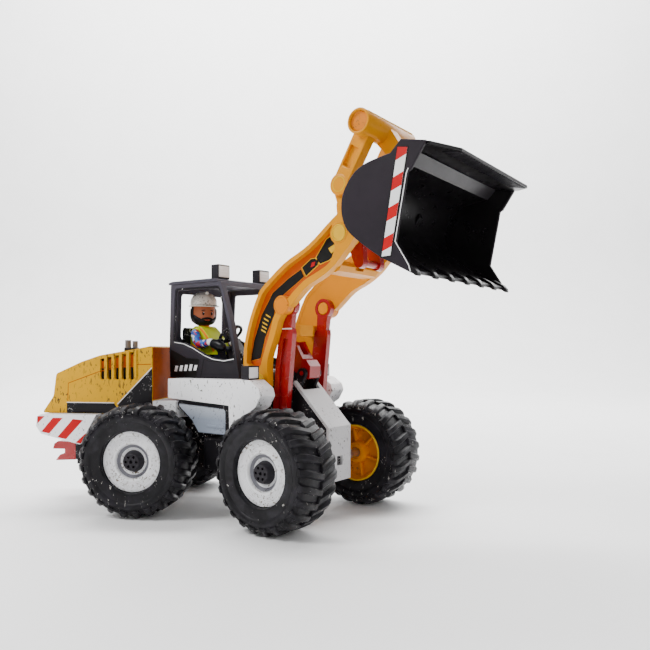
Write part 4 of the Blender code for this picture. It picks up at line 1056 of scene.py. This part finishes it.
def driver_body():
    """The seated figure: vest with its bands, collar, legs, and both arms with cuffs and gloves."""
    def cloth(name, outline, low, high, look, edge, **form):
        sheet("driver_" + name, outline, (low, high), "front_frame", look, edge, slot="driver_vest", **form)

    cloth("vest", rounded(TORSO, 3, 5), SEAT_LINE - 10, SEAT_LINE + 10, "vest", (2.2, 4, 30),
          replaces=("driver_body",), sharp=60)
    for number, line in enumerate(VEST_BANDS):
        cloth(f"vest_band_{number}", ribbon(smooth(line, 4), 2.6), SEAT_LINE - 10.2, SEAT_LINE + 10.2,
              "vest_stripe", (0.4, 2, 40), sharp=60)
    cloth("collar", circle((-136.0, SEAT_LINE), 6.2, 24), 163.4, 165.4, "vest_stripe", (0.8, 3), plane="XY")
    for name, side in SIDES.items():
        near, far = mirrored(side, 1.1, 9.8)
        cloth(name + "_leg", rounded(LEGS, 2), SEAT_LINE + near, SEAT_LINE + far, "trousers", (1.6, 4, 30),
              sharp=60)
        limb(f"driver_{name}_shoulder", [(-134.8, SEAT_LINE + side * 9.4, 160.6, 3.4),
                                         (-133.4, SEAT_LINE + side * 11.0, 158.6, 3.6)],
             "front_frame", "vest")
        for part, look, stations in ARM_PARTS:
            stations = [(x, SEAT_LINE + side * out, z, radius) for x, out, z, radius in stations]
            limb(f"driver_{name}_{part}", stations, f"driver_{name}_arm_body", look,
                 (f"driver_{name}_arm",) if part == "sleeve" else ())


cab()
driver_head()
driver_body()

# ---------------------------------------------------------------- bodywork of the front unit

PANEL = [(-134.3, 116.1), (-33.8, 117.2), (-23.5, 110.5), (-21.6, 104.2), (-26.9, 95.3), (-44.9, 84.0),
         (-56.5, 73), (-57.3, 95.2), (-134.3, 98.6)]
TANK = [(-120.5, 97.2), (-58.2, 94.6), (-58.2, 69.7), (-95, 69.7), (-103.5, 80), (-120.5, 92)]
TANK_LEDGE = [(-84, 75.4), (-84, 77.4), (-61.4, 77.4), (-61.4, 75.4)]
TANK_PANEL = [(-120.2, 94.6), (-63.4, 92.2), (-61.2, 90.2), (-61.2, 70), (-95, 70), (-103.4, 80.4),
              (-120.2, 91.8)]


def front_bodywork():
    """Each side's panel, and the tank below it with its dark rim and moulded ledge."""
    for name, side in SIDES.items():
        full = mirrored(side, *PANEL_SPAN)
        sheet(name + "_panel_skin", rounded(PANEL, 1.2, 4), full, "front_frame", "white", (1.8, 4, 30),
              (name + "_side_panel",), 50, "white_plastic")
        sheet(name + "_tank_band", rounded(TANK, 2.5), full, "front_frame", "black", (0.7, 3, 40),
              (name + "_tank_cover",), 50, "tank_grey", holes=(TANK_PANEL,))
        sheet(name + "_tank_skin", TANK_PANEL, mirrored(side, 41, 58.2), "front_frame", "tank", (0.4, 2, 40),
              slot="tank_grey")
        sheet(name + "_tank_ledge", rounded(TANK_LEDGE, 0.8), mirrored(side, 58, 58.9), "front_frame", "tank",
              (0.3, 2), slot="tank_grey")


front_bodywork()

# ---------------------------------------------------------------- rear unit

HOOD = [(-74.5, 84.1), (-74.5, 146), (-91.6, 142.8), (-124.8, 137.2), (-142.6, 131.4), (-167.6, 120.3),
        (-170.4, 99.5), (-180.4, 85.3), (-179.4, 84.1)]
HOOD_ROOM = [(-77.2, 70), (-77.2, 142.7), (-91.8, 140), (-124, 134.6), (-141.4, 128.9), (-165.2, 118.4),
             (-167.9, 98.8), (-175.6, 87.6), (-175.6, 70)]
LOUVRES = ((-122.3, 135.4), (-115.3, 137), (-108.2, 138.4), (-101.2, 139.9), (-94.0, 141.2))
HOOD_LINE = [(-156.2, 95.3), (-155.7, 111.6), (-125.8, 122.3), (-107, 126.4), (-90.7, 128.8), (-75.5, 129.2)]
STRIP_OUTLINE = [(-157, 84.3), (-157, 93.5), (-111, 93.5), (-105, 84.3)]
WEDGE = [(-74.6, 125.5), (-107.3, 92.3), (-105, 84.3), (-74.6, 84.3)]
# Each row: name, outline, height above the hood's side, thickness, look, slot
HOOD_PRINTS = (
    # The first row is painted shade along a groove on the hood's side.
    ("hood_groove_shade", ribbon(HOOD_LINE, 0.7), -0.05, 0.12, "orange", "yellow_plastic"),
    ("hood_strip", STRIP_OUTLINE, 0, 0.3, "black", "black_plastic"),
    # The two white lines are painted highlights along the edges of the black prints.
    ("strip_highlight", ribbon([(-157, 93.9), (-111, 93.9)], 0.6), 0, 0.4, "edge", "black_plastic"),
    ("hood_wedge", WEDGE, 0, 0.4, "black", "black_plastic"),
    ("wedge_highlight", ribbon([(-74.9, 126.0), (-107.6, 92.8)], 0.7), 0, 0.55, "edge", "black_plastic"),
)
INSIDE_LOW = [(-130, 110), (-130, 125), (-80, 127), (-80, 110)]
INSIDE_HIGH = [(-130, 125), (-130, 130.5), (-92, 138.5), (-80, 140.5), (-80, 127)]
HOOD_WALL = [(-74.6, 97), (-74.6, 144.4), (-73.9, 144.2), (-73.9, 97)]
PIPES = ((-115.4, -1.4, 2.9, 151.7), (-109.4, 1.4, 2.6, 150.8))
WEIGHT_MARKS = [[(-180.4, 81.8), (-173.1, 81.9), (-180.4, 75)],
                [(-165.2, 80.5), (-155.5, 80.6), (-168.6, 66.3), (-176.4, 67.8)],
                [(-145.7, 79.7), (-135.9, 78.8), (-152.4, 61.4), (-160.7, 63.1)],
                [(-133.5, 67), (-133, 63.4), (-138.5, 57.6), (-142.9, 58.5)]]


def hood():
    """The louvred hood, sheets of painted shade inside it that show through its openings, and the prints on
    its sides with painted lines of shade and highlight.
    """
    shell = plate("hood_skin", rounded(HOOD, 2.0), -HOOD_HALF, HOOD_HALF, "rear")
    cutters = [plate("hood_room", HOOD_ROOM, -37.4, 37.4, "rear")]
    for x, top in LOUVRES:
        opening = hull(circle((x, 117), 2.0, 16), [(x - 2, top - 1.4), (x + 2, top - 0.9)])
        cutters.append(plate("louvre", opening, -50, 50, "rear"))
    carve(shell, *cutters)
    finish(bevel(shell, 1.1, 3, 40), REAR_BODY, "hood", ("hood",), 50)
    # Sheets inside the hood, dark below and orange above, are painted shade seen through the louvres.
    sheet("hood_inside_low", INSIDE_LOW, (-37.2, 37.2), REAR_BODY, "shadow")
    sheet("hood_inside_high", INSIDE_HIGH, (-37.2, 37.2), REAR_BODY, "web")
    # The hood's front wall, behind the cab, is coloured orange as painted shade.
    sheet("hood_front_wall", HOOD_WALL, (-38.6, 38.6), REAR_BODY, "orange", (0.25, 2))
    # Ribs on the hood's back are coloured black as painted shade.
    for number, y in enumerate((-24, -8, 8, 24)):
        shaded_rib = box(f"hood_back_rib_{number}", (-172.2, y - 5, 103), (-169.2, y + 5, 112.5), "rear")
        finish(bevel(shaded_rib, 0.6, 3), REAR_BODY, "shadow")
    for name, side in SIDES.items():
        for number, (x, top) in enumerate(LOUVRES):
            x += 3.5
            rib = rounded([(x - 1.5, 116), (x - 1.5, top + 0.7), (x + 1.5, top + 1.3), (x + 1.5, 116)], 1.0)
            sheet(f"{name}_louvre_rib_{number}", rib, mirrored(side, 30.0, 41.0), REAR_BODY, "hood", (0.5, 3))
        for part, outline, lift, height, look, slot in HOOD_PRINTS:
            thin(f"{name}_{part}", outline, side, HOOD_HALF + lift, height, REAR_BODY, look, slot)
        for number, mark in enumerate(WEIGHT_MARKS):
            thin(f"{name}_weight_mark_{number}", mark, side, 50.0, 0.15, REAR_BODY, "stripe", "white_plastic")


def exhaust():
    """Two open pipes on a block that stands on the hood."""
    base = box("exhaust_base", (-118.4, -4.4, 138.6), (-106.6, 4.4, 144.5), "rear")
    finish(bevel(base, 0.8, 3), REAR_BODY, "lamp", ("exhaust_stub",))
    for number, (x, y, radius, top) in enumerate(PIPES):
        sheet(f"exhaust_pipe_{number}", circle((x, y), radius, 24), (143, top), REAR_BODY, "lamp_back",
              (0.35, 2), slot="lamp_black", plane="XY", holes=(circle((x, y), radius - 1, 20),))


hood()
exhaust()

# ---------------------------------------------------------------- CAD nodes kept as they are

KEPT_ANGLE = 34
# Each row: look, bevel width, and the CAD nodes that keep their own mesh
KEPT = (
    ("black", 0.5, ("front_chassis", "rear_chassis", "seat", "steering_column", "steering_wheel")),
    ("red", 0.6, ("lift_lock_lever", "tilt_crank_shaft", "tow_hitch")),
    ("red", 0.25, ("left_lift_strut", "right_lift_strut")),
    ("yellow", 0.7, ("left_tilt_lever", "right_tilt_lever", "upper_cross_beam")),
    ("yellow", 0.25, ("lower_cross_beam",)),
    ("steel", 0.4, ("front_axle", "rear_axle", "steering_pin")),
    ("nose", 0.6, ("nose_cover",)),
    ("white", 1.0, ("rear_deck", "counterweight")),
    ("cab", 0.6, ("cab_roof",)),
    ("lamp", 0.3, ("left_roof_lamp", "right_roof_lamp", "left_lower_lamp", "right_lower_lamp")),
    ("lens", 0.25, ("left_roof_lamp_lens", "right_roof_lamp_lens")),
)

for look, width, names in KEPT:
    for name in names:
        dress(bevel(NODES[name], width, 3, KEPT_ANGLE), look, KEPT_ANGLE)

# ---------------------------------------------------------------- floor, light and camera

# The photo's view: turn and place of the camera, and its lens
VIEW_TURN = math.radians(36.48)
EYE = (0.40058, -0.43543, 0.14223)
LENS = 36.61
SENSOR = 36.0
SHIFT_UP = 0.0382
AMBIENT = 0.45
SWEEP_START = 1500
SWEEP_RADIUS = 600
FLOOR_GAP = 0.0002


def backdrop():
    """A pale floor that sweeps up into a wall behind the object."""
    tree = Tree("studio_white")
    tone = tree.between(tree.noise(0.01, 3), 0.3, 0.7)
    white = tree.surface(tree.mix(tone, (0.93, 0.93, 0.93, 1), (0.96, 0.96, 0.96, 1)),
                         tree.between(tone, 0, 1, 0.55, 0.7))
    section = [(-3000, 0), *arc((SWEEP_START, SWEEP_RADIUS), SWEEP_RADIUS, -90, 90, 12),
               (SWEEP_START + SWEEP_RADIUS, 4000)]
    rows = [[(x, y, z) for y, z in section] for x in (-5000, 5000)]
    made = as_object("backdrop", grid_mesh(rows),
                     Matrix.Translation((0, 0, -FLOOR_GAP)) @ Matrix.Rotation(VIEW_TURN, 4, "Z") @ SCALE)
    made.data.materials.append(white)
    made.data.shade_smooth()
    if made.data.polygons[0].normal.z < 0:
        made.data.flip_normals()


def area_light(name, at, target, size, power):
    """A rectangular light in metres and watts, turned towards a target."""
    data = bpy.data.lights.new(name, "AREA")
    data.shape = "RECTANGLE"
    data.size, data.size_y = size
    data.energy = power
    lamp = bpy.data.objects.new(name, data)
    lamp.location = at
    lamp.rotation_euler = (Vector(target) - Vector(at)).to_track_quat("-Z", "Y").to_euler()
    bpy.context.scene.collection.objects.link(lamp)


def studio():
    """A white world, three lights round the object, and one that lightens the wall behind it."""
    world = bpy.data.worlds.new("studio")
    world.use_nodes = True
    background = world.node_tree.nodes["Background"]
    background.inputs["Color"].default_value = (1.0, 1.0, 1.0, 1.0)
    background.inputs["Strength"].default_value = AMBIENT
    bpy.context.scene.world = world
    area_light("key", (-0.5, -0.9, 1.1), (0, 0, 0.1), (0.45, 0.45), 15)
    area_light("fill", (1.1, -0.7, 0.7), (0, 0, 0.12), (0.6, 0.6), 3.5)
    area_light("back", (0.1, 1.1, 0.9), (0, 0, 0.12), (1.0, 0.6), 6)
    along = Matrix.Rotation(VIEW_TURN, 3, "Z") @ Vector((0, 1, 0))
    area_light("wall", along * 0.9 + Vector((0, 0, 2.2)), along * 2.0 + Vector((0, 0, 0.6)), (3.0, 0.8), 170)


def camera():
    """The photo's camera, level and raised by its shift."""
    data = bpy.data.cameras.new("camera")
    data.lens = LENS
    data.sensor_width = SENSOR
    data.shift_y = SHIFT_UP
    eye = bpy.data.objects.new("camera", data)
    eye.location = EYE
    eye.rotation_euler = (math.radians(90), 0, VIEW_TURN)
    bpy.context.scene.collection.objects.link(eye)
    bpy.context.scene.camera = eye


backdrop()
studio()
camera()
